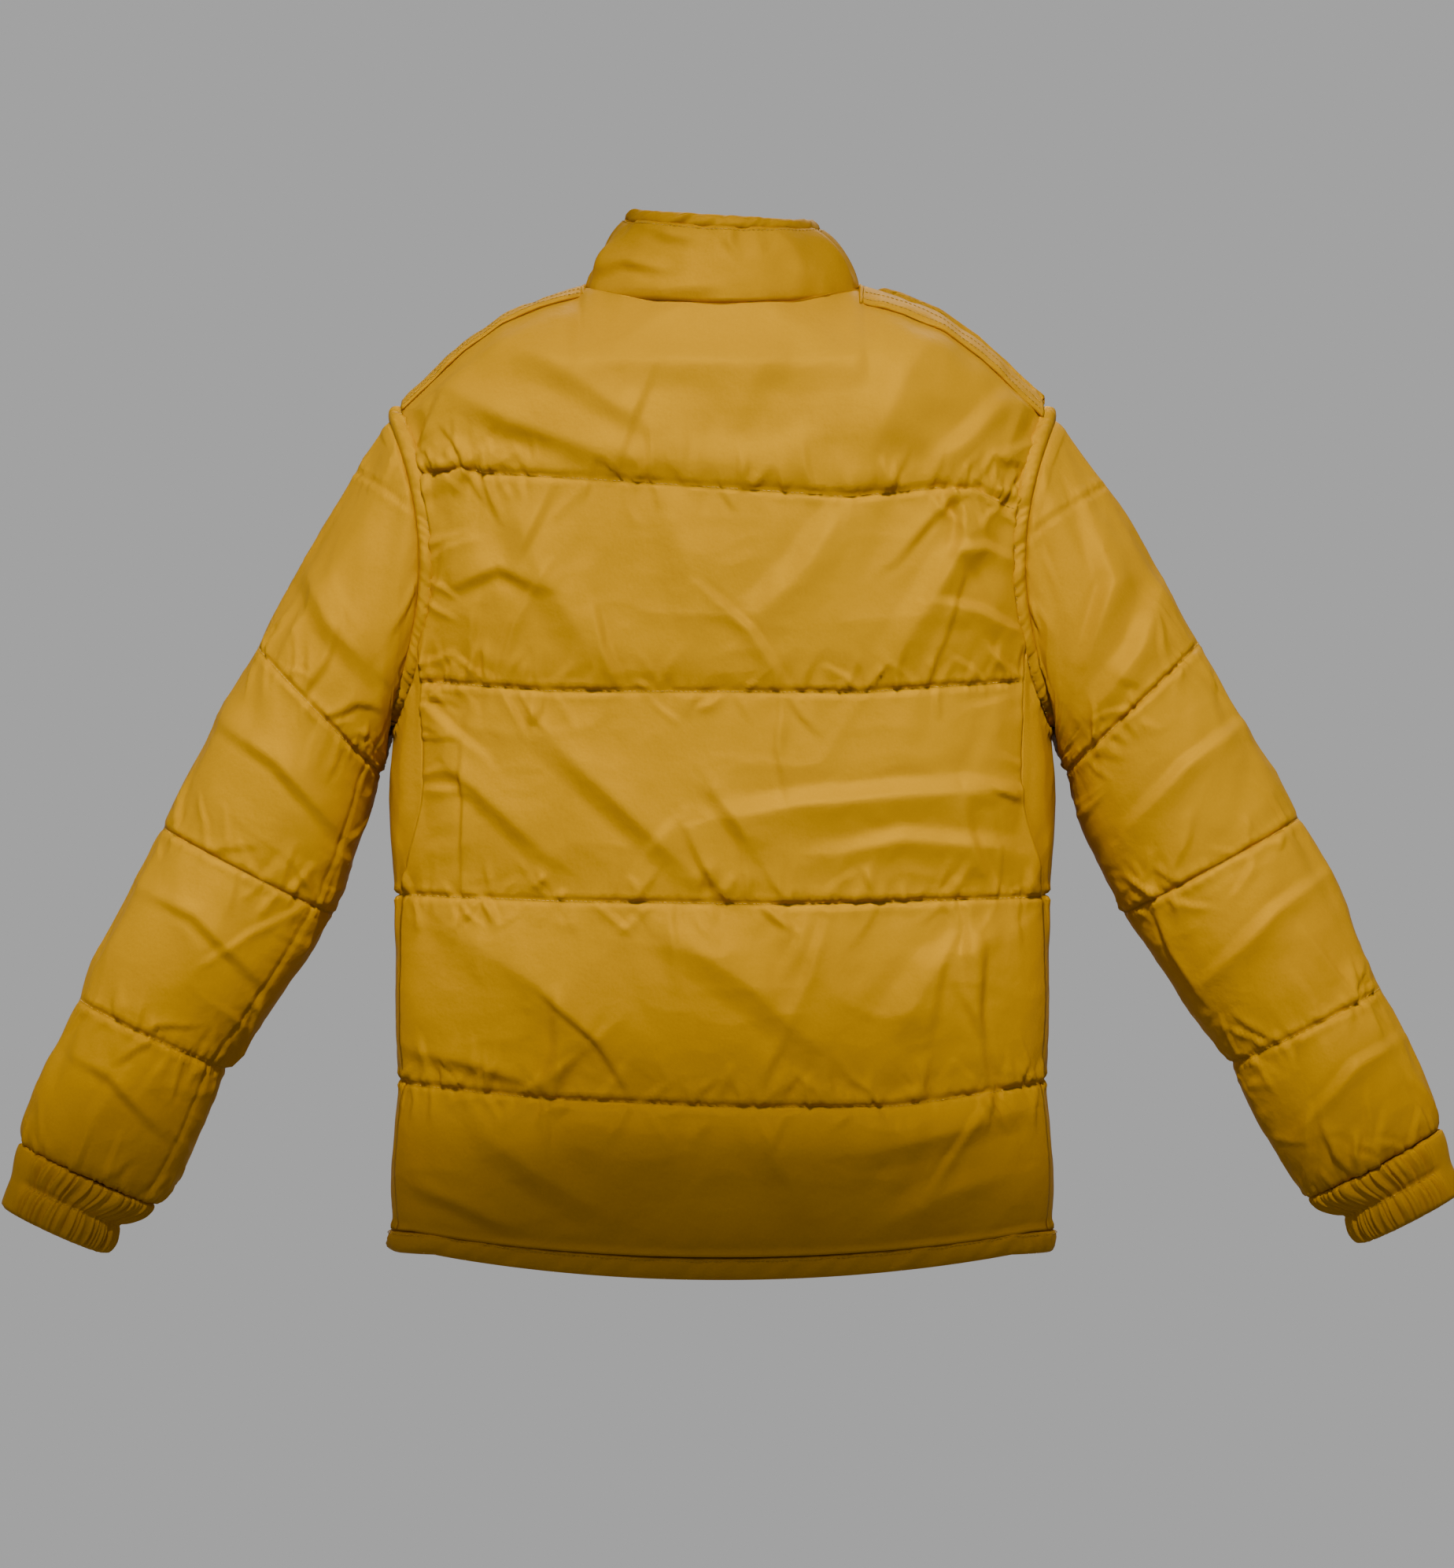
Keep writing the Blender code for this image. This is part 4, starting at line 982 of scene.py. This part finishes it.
# ---- sleeves ----
SLEEVE_LINES = {
    "left": ((0.2674, -0.1177), (0.2440, -0.1320), (0.2200, -0.1500)),
    "right": ((-0.2754, -0.1303), (-0.2400, -0.1520), (-0.2097, -0.1749)),
}


def sleeve_ring(outer, inner, depth, side, turns):
    o = np.array([outer[0], MID, outer[1]])
    i = np.array([inner[0], MID, inner[1]])
    c = np.cos(turns)
    s = 1.03 * np.sin(turns)
    ring = (o + i) / 2 + (o - i) / 2 * c[:, None] + np.array([0.0, 1.0, 0.0]) * (depth * s)[:, None]
    ring[:, 0] *= side
    return ring


def ring_turns(count):
    return np.arange(count) * 2 * math.pi / count


def sleeve_grid(name, side, turns):
    """Rings from the armhole to the wrist, and which of them are stitched."""
    first = armhole(np.degrees(turns), side)
    first[:, 0] += side * 0.0044
    rings = [first] + [sleeve_ring(*key, side, turns) for key in SLEEVES[name]]
    grid, marks = [], [0]
    for a, b in zip(rings[:-1], rings[1:]):
        steps = int(np.linalg.norm(b - a, axis=1).max() / STEP)
        for k in range(steps):
            t = k / steps
            grid.append(a * (1 - t) + b * t)
        marks.append(len(grid))
    return np.array(grid + [rings[-1]]), marks


def sleeve_detail(name, side, out, n2, at, marks):
    """Displacement of a sleeve's face: gathers, creases and folds, with a groove for the inner seam."""
    seed = 480 if side > 0 else 490
    turns = ring_turns(out.shape[1])
    arc = (turns[None, :] - math.pi) * 0.055 + 0.0 * at[:, None]
    down = -at[:, None] + 0.0 * arc
    ends = [((-0.17, -at[m]), (0.17, -at[m])) for m in marks]
    under = [((0.0, -at[-1]), (0.0, -0.02))]
    d = row_puckers(out, marks, True, 400 if side > 0 else 450, 0.0019)
    d += creases(arc, down, ends, seed, 300, (0.010, 0.042), 0.0034, 0.0021)
    d += creases(arc, down, ends, seed + 2, 22, (0.045, 0.090), 0.0062, 0.0030)
    d += creases(arc, down, under, seed + 1, 90, (0.020, 0.055), 0.0036, 0.0010, 0.5)
    d *= unit((0.168 - np.abs(arc)) / 0.025) * (1.0 - 0.55 * bell(arc, 0.032))
    d += ridges(arc, down, seed + 6, 0.0009)
    if side > 0:
        d -= 0.0015 * bell(arc + 0.034, 0.0016)
    inner_edge = smooth((-np.cos(turns) - 0.1) / 0.9)[None, :]
    d += 0.0005 * inner_edge * noise(at[:, None] / 0.016, 1.6 * np.sin(turns)[None, :], 470)
    face = smooth((n2[..., 1] + 0.15) / 0.55)
    for line, width, height, sharp in FOLDS:
        if line[0][0] * side > 0.25:
            d += fold(out[..., 0], out[..., 2], line, width, height, sharp) * face
    d += puckers(out[..., 0], out[..., 2], SLEEVE_LINES[name], 500) * face
    return d * unit(np.arange(len(out)) / 4.0)[:, None]


def sleeve_sticks(name, side, p, elbow):
    """Where the upper sleeve leaves the torso, and the lower sleeve the upper one."""
    way = np.array([side * math.cos(SHOULDER_TILT), 0.0, -math.sin(SHOULDER_TILT)])
    top = p[0].mean(axis=0)
    begin = top + way * ((p[0] - top) @ way).max()
    finish = top + way * (((p[elbow] - top) @ way).min() - 0.006)
    bend = p[elbow].mean(axis=0)
    way = p[-1].mean(axis=0) - bend
    way /= np.linalg.norm(way)
    upper, lower = "upper_sleeve_" + name, "lower_sleeve_" + name
    shoulder = ("torso", upper, tuple(begin), tuple(finish))
    return shoulder, (upper, lower, tuple(bend), tuple(bend + way * 0.075))


def make_sleeve(name, side):
    turns = ring_turns(84)
    p, marks = sleeve_grid(name, side, turns)
    mid = p.mean(axis=1, keepdims=True)
    n = normals_of(p, True, mid)
    radial = p - mid
    radial[..., 0] *= 0.2
    n[:4] = direction(radial)[:4]
    at = path_length(mid[:, 0])
    around = np.sin(turns)[None, :] * 0.06 + 0.0 * at[:, None]
    high = np.cos(turns)[None, :] * 0.06 + at[:, None]
    seed = 81 if side > 0 else 95
    out = inflate(p, n, marks, True, seed, around, high, longer, height=0.0044, rim=-0.0042)
    out, p, n, marks = refine(marks, True, out, p, n)
    mid = p.mean(axis=1, keepdims=True)
    n2 = normals_of(out, True, mid)
    n2[:6] = n[:6]
    out = crossed(out, n2, sleeve_detail(name, side, out, n2, path_length(mid[:, 0]), marks))
    inner = p - n * LAYER
    elbow = marks[2]
    sticks = sleeve_sticks(name, side, p, elbow)
    for part, rows, stick in zip(("upper", "lower"), (slice(0, elbow + 1), slice(elbow, None)), sticks):
        piece = skin("sleeve_%s_%s" % (part, name), out[rows], inner[rows], OCHRE, True)
        shell, padding, lining, sheet = ("sleeve_%s_%s_%s" % (part, layer, name)
                                         for layer in ("shell", "padding", "lining", "liner"))
        attach(piece, stick, (shell, padding))
        liner(sheet, lining, p[rows], n[rows], 91, stick, closed=True)
    for part, rows, stick in zip(("upper_", "lower_"), (marks[1:2], marks[2:4]), sticks):
        row_stitches("sleeve_stitching_" + part + name, out, n2, rows, stick, closed=True)
    make_cuff(name, side, SLEEVES[name][-1], sticks[1][1])


def make_cuff(name, side, key, body):
    """Elastic gathers on the back and inside of the wrist, a plain fold on its outside."""
    middle = 13
    turns = ring_turns(440)
    first = sleeve_ring(*key, side, turns)
    o, i = (np.array([end[0] * side, MID, end[1]]) for end in key[:2])
    across = (o - i) / np.linalg.norm(o - i)
    down = np.cross([0.0, 1.0, 0.0], across)
    down = down if down[2] < 0 else -down
    last = (o + i) / 2 + down * CUFF_LENGTH + across * (0.0060 + 1.05 * CUFF_END * np.cos(turns))[:, None]
    last[:, 1] += CUFF_DEPTH * np.sin(turns)
    plain = smooth((np.cos(turns) - 0.60) / 0.22)
    grid = []
    for t in np.linspace(0.0, 1.0, 2 * middle):
        pull = smooth(t / 0.6)
        base = first * (1 - pull) + (last - down * CUFF_LENGTH) * pull + down * (CUFF_LENGTH * t)
        drawn = 0.10 * (1.0 - pull) * (1.0 - 0.25 * plain)
        base = base + (base.mean(axis=0) - base) * drawn[:, None]
        out = base - ((first + last) / 2).mean(axis=0)
        out -= down * (out @ down)[:, None]
        out = direction(out)
        wave = noise(turns * 27.0 + 0.5, 0 * turns + 1.1 * t, 600)
        wave = wave + 0.5 * noise(turns * 13.0, 0 * turns + 2.6 * t, 611)
        wave *= unit(np.minimum(turns, 2 * math.pi - turns) / 0.3)
        swell = math.sin(math.pi * (t * 2 % 1.0 if t < 0.999 else 0.0)) ** 0.7
        pinch = math.exp(-(((t - 0.5) / 0.045) ** 2))
        edge = math.sqrt(max(1.0 - ((t - 0.93) / 0.07) ** 2, 0.0)) if t > 0.93 else 1.0
        edge = min(edge, 0.35 + t / 0.06)
        d = (0.0028 * swell - 0.0016 * pinch) * (1 - plain) + 0.0016 * plain * math.sin(math.pi * t)
        d = d + 0.0024 * wave * (1 - plain) * (0.45 + 0.55 * swell) - 0.0030 * (1 - edge)
        grid.append(base + out * d[:, None])
    outer = np.array(grid)
    way = direction(outer - outer.mean(axis=1, keepdims=True))
    cuff = skin("gathered_cuff_" + name, outer, outer - way * 0.0042, OCHRE, True)
    attach(cuff, body, ("cuff_" + name, "cuff_elastic_" + name))
    show = (1 - plain) > 0.5
    line, nor = (np.roll(g[middle], -int(np.argmax(show)), axis=0)[:int(show.sum())] for g in (outer, way))
    stitches("cuff_stitching_" + name, line, nor, body)


# ---- collar ----
COLLAR_HEIGHT, COLLAR_LIFT, COLLAR_TURN = 0.066, 0.0028, 176.0
COLLAR_BODY = 0.865  # share of the height below the roll


def collar_point(t, h):
    """A point of the collar at t degrees from the back, at a share h of its height."""
    c = np.cos(np.radians(t))
    s = np.sin(np.radians(t))
    front = smooth((np.abs(t) - 84.0) / 40.0)
    lean = (0.035 * (1 - front) + 0.020 * front) * h
    lean = lean - 0.010 * bell(t + 118.0, 26.0) * np.sin(np.pi * unit(h))
    reach = np.where(c >= 0, NECK_BACK - lean * 0.4, NECK_FRONT - lean * 0.3)
    drop = np.where(c >= 0, 0.0, (NECK_DROP + 0.014) * np.abs(np.minimum(c, 0.0)) ** 1.15)
    tall = COLLAR_HEIGHT - 0.009 * np.minimum(1.0 - c, 1.0) - 0.004 * np.maximum(-c, 0.0)
    tall = tall - 0.0040 * (1.0 - s * smooth((c + 1.0) / 0.7))
    z = COLLAR_LIFT + 0.014 * np.where(c >= 0, 1.0 - c, 1.0) - drop
    return np.stack([(NECK_X - lean) * s, MID + reach * c, z + h * tall], axis=-1)


def make_collar():
    t = np.linspace(-COLLAR_TURN, COLLAR_TURN, 190)[None, :]
    h = np.linspace(0.0, 1.0, 22)[:, None]
    t, h = np.broadcast_arrays(t, h)
    foot = -0.02 - 0.075 * smooth((np.abs(t) - 88.0) / 30.0)
    h = foot + (COLLAR_BODY - foot) * h
    p = collar_point(t, h)
    mid = np.array([0.0, MID, 0.0]) + 0.0 * p
    mid[..., 2] = p[..., 2]
    n = normals_of(p, False, mid)
    swell = np.sin(np.pi * unit(h / COLLAR_BODY)) ** 0.6
    along = t * 0.0016
    d = 0.0042 * swell - 0.0012
    d = d + 0.0020 * noise(along / 0.016, h * 1.4, 700) * np.exp(-(COLLAR_BODY - h) * 4.0)
    d = d + 0.0016 * noise(along / 0.013, h * 1.8, 710) * np.exp(-h * 6.0)
    d = d + crumple(along, h * COLLAR_HEIGHT, 720, 0.0030) * swell
    for size, turn, wide, high, tall in ((0.0050, 72.0, 9.0, 0.36, 0.20), (-0.0060, 84.0, 6.0, 0.34, 0.16)):
        d = d + size * bell(t - turn, wide) * bell(h - high, tall)
    face = smooth((n[..., 1] + 0.1) / 0.3)
    for line, width, height, sharp in COLLAR_FOLDS:
        d = d + fold(p[..., 0], p[..., 2], line, width, height, sharp) * face
    outer = crossed(p, n, d)
    inner = crossed(p, n, -LAYER + 0.4 * crumple(along, h * COLLAR_HEIGHT, 730, 0.0030))
    body = skin("collar_padded", outer, inner, OCHRE)
    attach(body, "torso", ("collar_outer", "collar_padding", "collar_inner"))
    t = np.linspace(-COLLAR_TURN, COLLAR_TURN, 420)
    low, top = collar_point(t, 0.80), collar_point(t, 0.925)
    out = normals_of(np.stack([low, top]), False, np.array([0.0, MID, 0.02]))[1]
    up = direction(collar_point(t, 1.0) - low)
    band = roll("collar_top_roll", top - out * 0.0058, up, out, 0.0056, 0.0064, 740, 0.0018, pitch=0.008)
    attach(band, "torso", ["collar_top_band"])
    stitches("collar_top_stitching", outer[-2], n[-2], "torso")


# ---- seams and bands ----
def make_armhole_band(name, side):
    p = armhole(np.linspace(0.0, 360.0, 421)[:-1], side)
    out = p - np.array([side * 0.22, MID, HOLE_Z])
    out[:, 0] = 0.0
    out = direction(out)
    across = np.broadcast_to(np.array([side, 0.0, 0.0]), p.shape)
    band = roll("armhole_seam_" + name, p - out * 0.0042, across, out, 0.0060, 0.0076, 760 + int(side),
                0.0014, closed=True, lean=0.8, pitch=0.0065, ticks=0.0016)
    attach(band, "torso", ["armhole_band_" + name])
    line, nor = (np.concatenate([g, g[:1]]) for g in (p, out))
    lift = line + nor * 0.0020 - np.array([side * 0.0020, 0.0, 0.0])
    stitches("armhole_stitching_" + name, lift, nor, "torso")


def make_shoulder_strip(name, side):
    """Shoulder seam turned under and sewn down with two rows of stitches."""
    xs = np.linspace(0.0985, 0.2310, 90)
    low = 0.0065 if side > 0 else 0.0125
    drops = np.concatenate([-np.array([0.0016, 0.0008, 0.0002]), np.linspace(0.0, 1.0, 12) ** 1.3 * low])
    p = np.array([body_point(xs, seam_top(xs, True) - abs(drop), xs, bool(drop >= 0)) for drop in drops])
    p[..., 0] *= side
    n = normals_of(p, False, TORSO_MID)
    d = 0.0030 + 0.0009 * noise(xs[None, :] / 0.009 + 0.0 * drops[:, None], drops[:, None] / 0.006, 780)
    edge = from_ends(len(drops))[:, None] / 2.0
    outer = crossed(p, n, d - 0.0012 * (1.0 - unit(edge)))
    strip = skin("shoulder_seam_" + name, outer, p + n * 0.0004, OCHRE)
    attach(strip, "torso", ["shoulder_strip_" + name])
    for place, row in (("back_", -3), ("front_", -7)):
        stitches("shoulder_stitching_" + place + name, outer[row], n[row], "torso")


def hem_ring(turns, side):
    s = np.sin(turns)
    c = np.cos(turns)
    x = HEM_X * np.sign(s) * np.abs(s) ** (2.0 / POWER)
    z = hem_z(x) + HEM_BAND / 2
    depth = np.where(c >= 0, depth_at(z, True), FRONT_DEPTH) * np.abs(c) ** (2.0 / POWER)
    depth = depth - np.where(c >= 0, HEM_LEAN, 0.0) * inward(x)
    return np.stack([side * x, MID + np.sign(c) * depth, z], axis=-1)


def make_hem(name, turns, side, stick, node, drop=0.0):
    p = hem_ring(turns, side)
    p[:, 2] -= drop * smooth((np.linspace(0.0, 0.24, len(p))) / 0.09)
    up = np.broadcast_to(np.array([0.0, 0.0, 1.0]), p.shape)
    out = direction(np.cross(np.gradient(p, axis=0), up))
    away = (p - np.array([0.0, MID, 0.0])) * np.array([1.0, 1.0, 0.0])
    out *= np.sign(np.sum(out * away, axis=1, keepdims=True))
    half_up = HEM_BAND / 2 - 0.0002
    hem = roll(name, p - out * 0.0066, up, out, half_up, 0.0074, 800, 0.0015, lean=1.6, power=0.75)
    attach(hem, stick, [node])
    line = p + out * 0.0002
    line[:, 2] += HEM_BAND / 2 - 0.0030
    stitches(name + "_stitching", line, out, stick)


def make_hems():
    """The back hem reaches round to the front's seams, and each front's hem from there to the zip."""
    last, start, first = (math.pi - math.asin(share ** (POWER / 2.0))
                          for share in (SEAM_FRONT, SEAM_FRONT - 0.0035, 0.0062 / HEM_X))
    make_hem("hem_roll_back", np.linspace(-last + 0.004, last - 0.004, 640), 1.0, "torso", "hem_band_back")
    for name, side in SIDES:
        turns = np.linspace(start, first, 260)
        make_hem("hem_roll_front_" + name, turns, side, front_stick(name), "hem_band_front_" + name, 0.006)


# ---- zips and small parts ----
def add_box(verts, faces, xs, ys, zs):
    k = len(verts)
    verts += [(x, y, z) for x in xs for y in ys for z in zs]
    for face in ((0, 1, 3, 2), (4, 6, 7, 5), (0, 4, 5, 1), (2, 3, 7, 6), (0, 2, 6, 4), (1, 5, 7, 3)):
        faces.append(tuple(k + i for i in face))


def make_zip(name, side):
    """Woven tape with one chain of moulded teeth along the front edge."""
    rows = np.linspace(hem_z(0.0) + HEM_BAND - 0.0060, -0.0755, 160)
    across = np.array([0.0046, 0.0060, 0.0085, 0.0110, 0.0135, 0.0162])
    grid = np.zeros((len(rows), len(across), 3))
    grid[..., 0] = side * across[None, :]
    grid[..., 1] = CHAIN_Y - 0.0002 * np.sin(np.arange(len(across)) * 1.9)[None, :]
    grid[..., 2] = rows[:, None]
    tape = skin("zip_tape_woven_" + name, grid + [0.0, -0.0004, 0.0], grid + [0.0, 0.0004, 0.0], TAPE)
    attach(tape, front_stick(name), ["zip_tape_" + name])
    start, shift = (-0.6985, 0.0) if side > 0 else (-0.6640, 0.0013)
    stem, head = ((0.0013, 0.0028), 0.0011, 0.00062), ((0.0028, 0.0042), 0.0012, 0.00085)
    verts, faces = [], []
    for z in np.arange(start + 0.0012 + shift, -0.0852, 0.0026):
        for xs, y, h in (stem, head):
            add_box(verts, faces, [side * x for x in xs], (CHAIN_Y - y, CHAIN_Y + y), (z - h, z + h))
    cord = [side * x for x in (0.0032, 0.0050)]
    add_box(verts, faces, cord, (CHAIN_Y - 0.0007, CHAIN_Y + 0.0007), (start, -0.0850))
    teeth = new_object("zip_chain_" + name, verts, faces, TEETH, False)
    attach(teeth, front_stick(name), ["zip_teeth_" + name])


def make_bag(name):
    """Pocket bag of lining between the front's padding and its lining."""
    node = "pocket_bag_" + name
    low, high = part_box(node)
    u = np.linspace(-1.0, 1.0, 26)[None, :]
    v = np.linspace(-1.0, 1.0, 40)[:, None]
    x = (low[0] + high[0]) / 2 + (high[0] - low[0]) / 2 * u * (1.0 - 0.12 * v * v)
    z = (low[2] + high[2]) / 2 + (high[2] - low[2]) / 2 * v * (1.0 - 0.12 * u * u)
    p = body_point(x, z, x, False)
    n = normals_of(p, False, TORSO_MID)
    bag = skin("pocket_bag_sewn_" + name, p - n * BAG_DEPTHS[0], p - n * BAG_DEPTHS[1], LINING)
    attach(bag, front_stick(name), [node])


def soften(node, name, material):
    """The CAD solid's own outline as cloth: finer, and slightly uneven."""
    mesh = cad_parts[node].data.copy()
    mesh.name = name
    work = bmesh.new()
    work.from_mesh(mesh)
    bmesh.ops.remove_doubles(work, verts=work.verts, dist=0.00002)
    for _ in range(3):
        long_edges = [e for e in work.edges if e.calc_length() > 0.003]
        bmesh.ops.subdivide_edges(work, edges=long_edges, cuts=1)
        bmesh.ops.triangulate(work, faces=[f for f in work.faces if len(f.verts) > 3])
    work.normal_update()
    spots = np.array([v.co for v in work.verts])
    rough = 0.0004 * noise(spots[:, 0] / 0.006 + spots[:, 1] / 0.009, spots[:, 2] / 0.006, 960)
    for vert, size in zip(work.verts, rough):
        vert.co += vert.normal * float(size)
    work.to_mesh(mesh)
    work.free()
    mesh.shade_smooth()
    mesh.set_sharp_from_angle(angle=math.radians(50.0))
    mesh.materials.clear()
    mesh.materials.append(material)
    attach(add_object(name, mesh), "torso", [node])


def use_material(node, material):
    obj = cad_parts[node]
    obj.data.materials.clear()
    obj.data.materials.append(material)


# ---- floor, light and camera ----
def make_stage():
    mesh = bpy.data.meshes.new("floor")
    work = bmesh.new()
    bmesh.ops.create_grid(work, x_segments=8, y_segments=8, size=2.9)
    work.to_mesh(mesh)
    work.free()
    floor = add_object("floor", mesh)
    floor.location = (0.0, 0.0, -1.30)
    mat, tree, shader = new_material("floor_paper", (0.50, 0.50, 0.50), 0.9)
    bump(tree, shader, noise_node(tree, coords(tree), 60.0), 0.05, 0.001)
    mesh.materials.append(mat)


def area_light(name, where, target, size, power, colour=(1.0, 1.0, 1.0), spread=180.0):
    data = bpy.data.lights.new(name, "AREA")
    data.shape = "RECTANGLE"
    data.size, data.size_y = size
    data.energy = power
    data.color = colour
    data.spread = math.radians(spread)
    lamp = add_object(name, data)
    lamp.location = where
    aim = Vector(target) - Vector(where)
    lamp.rotation_euler = aim.to_track_quat("-Z", "Y").to_euler()


def make_world():
    """Plain grey, brightest at the height of the eye, as in a studio."""
    world = bpy.data.worlds.new("studio")
    world.use_nodes = True
    tree = world.node_tree
    tex = add_node(tree, "TexCoord", {})
    split = add_node(tree, "SeparateXYZ", {"Vector": tex.outputs["Generated"]})
    place = add_node(tree, "MapRange", {"From Min": -1.0, "Value": split.outputs["Z"]})
    ramp = add_node(tree, "ValToRGB", {"Fac": place.outputs["Result"]})
    points = ramp.color_ramp.elements
    points[0].position, points[0].color = 0.0, (0.20, 0.20, 0.20, 1.0)
    points[1].position, points[1].color = 1.0, (0.22, 0.22, 0.22, 1.0)
    for at, grey in ((0.36, 0.28), (0.43, 0.422), (0.57, 0.422), (0.64, 0.16)):
        points.new(at).color = (grey, grey, grey, 1.0)
    tree.links.new(ramp.outputs["Color"], tree.nodes["Background"].inputs["Color"])
    bpy.context.scene.world = world


def make_light():
    warm = (1.0, 0.96, 0.88)
    area_light("top_back", (0.05, 1.25, 0.85), (0.0, 0.0, -0.255), (1.7, 0.50), 4.25, warm, 8.0)
    area_light("top_front", (-0.3, -1.5, 1.3), (0.0, 0.0, -0.3), (1.6, 0.9), 24.0)
    area_light("side_fill", (2.6, 2.0, 0.3), (0.0, 0.0, -0.35), (1.0, 1.6), 4.0)
    make_world()


def make_camera():
    data = bpy.data.cameras.new("camera")
    data.sensor_fit = "HORIZONTAL"
    data.sensor_width = 36.0
    data.lens = 154.6
    camera = add_object("camera", data)
    camera.location = (-0.0034, 4.50, -0.3454)
    camera.rotation_euler = (math.pi / 2, 0.0, math.pi)
    bpy.context.scene.camera = camera


# ---- the jacket ----
BACK_FACE = make_back()
for _name, _side in SIDES:
    make_side(_name, _side)
    make_front(_name, _side)
    make_sleeve(_name, _side)
    make_armhole_band(_name, _side)
    make_shoulder_strip(_name, _side)
make_collar()
make_hems()
row_stitches("back_stitching", *BACK_FACE, "torso")
for _name, _side in SIDES:
    make_zip(_name, _side)
    use_material("pocket_zip_" + _name, TAPE)
    use_material("pocket_slider_" + _name, METAL)
    use_material("pocket_pull_" + _name, METAL)
    make_bag(_name)
use_material("main_zip_slider", METAL)
use_material("main_zip_pull", METAL)
soften("hanger_loop", "hanger_loop_woven", TAPE)
soften("neck_facing", "neck_facing_sewn", OCHRE)
make_stage()
make_light()
make_camera()
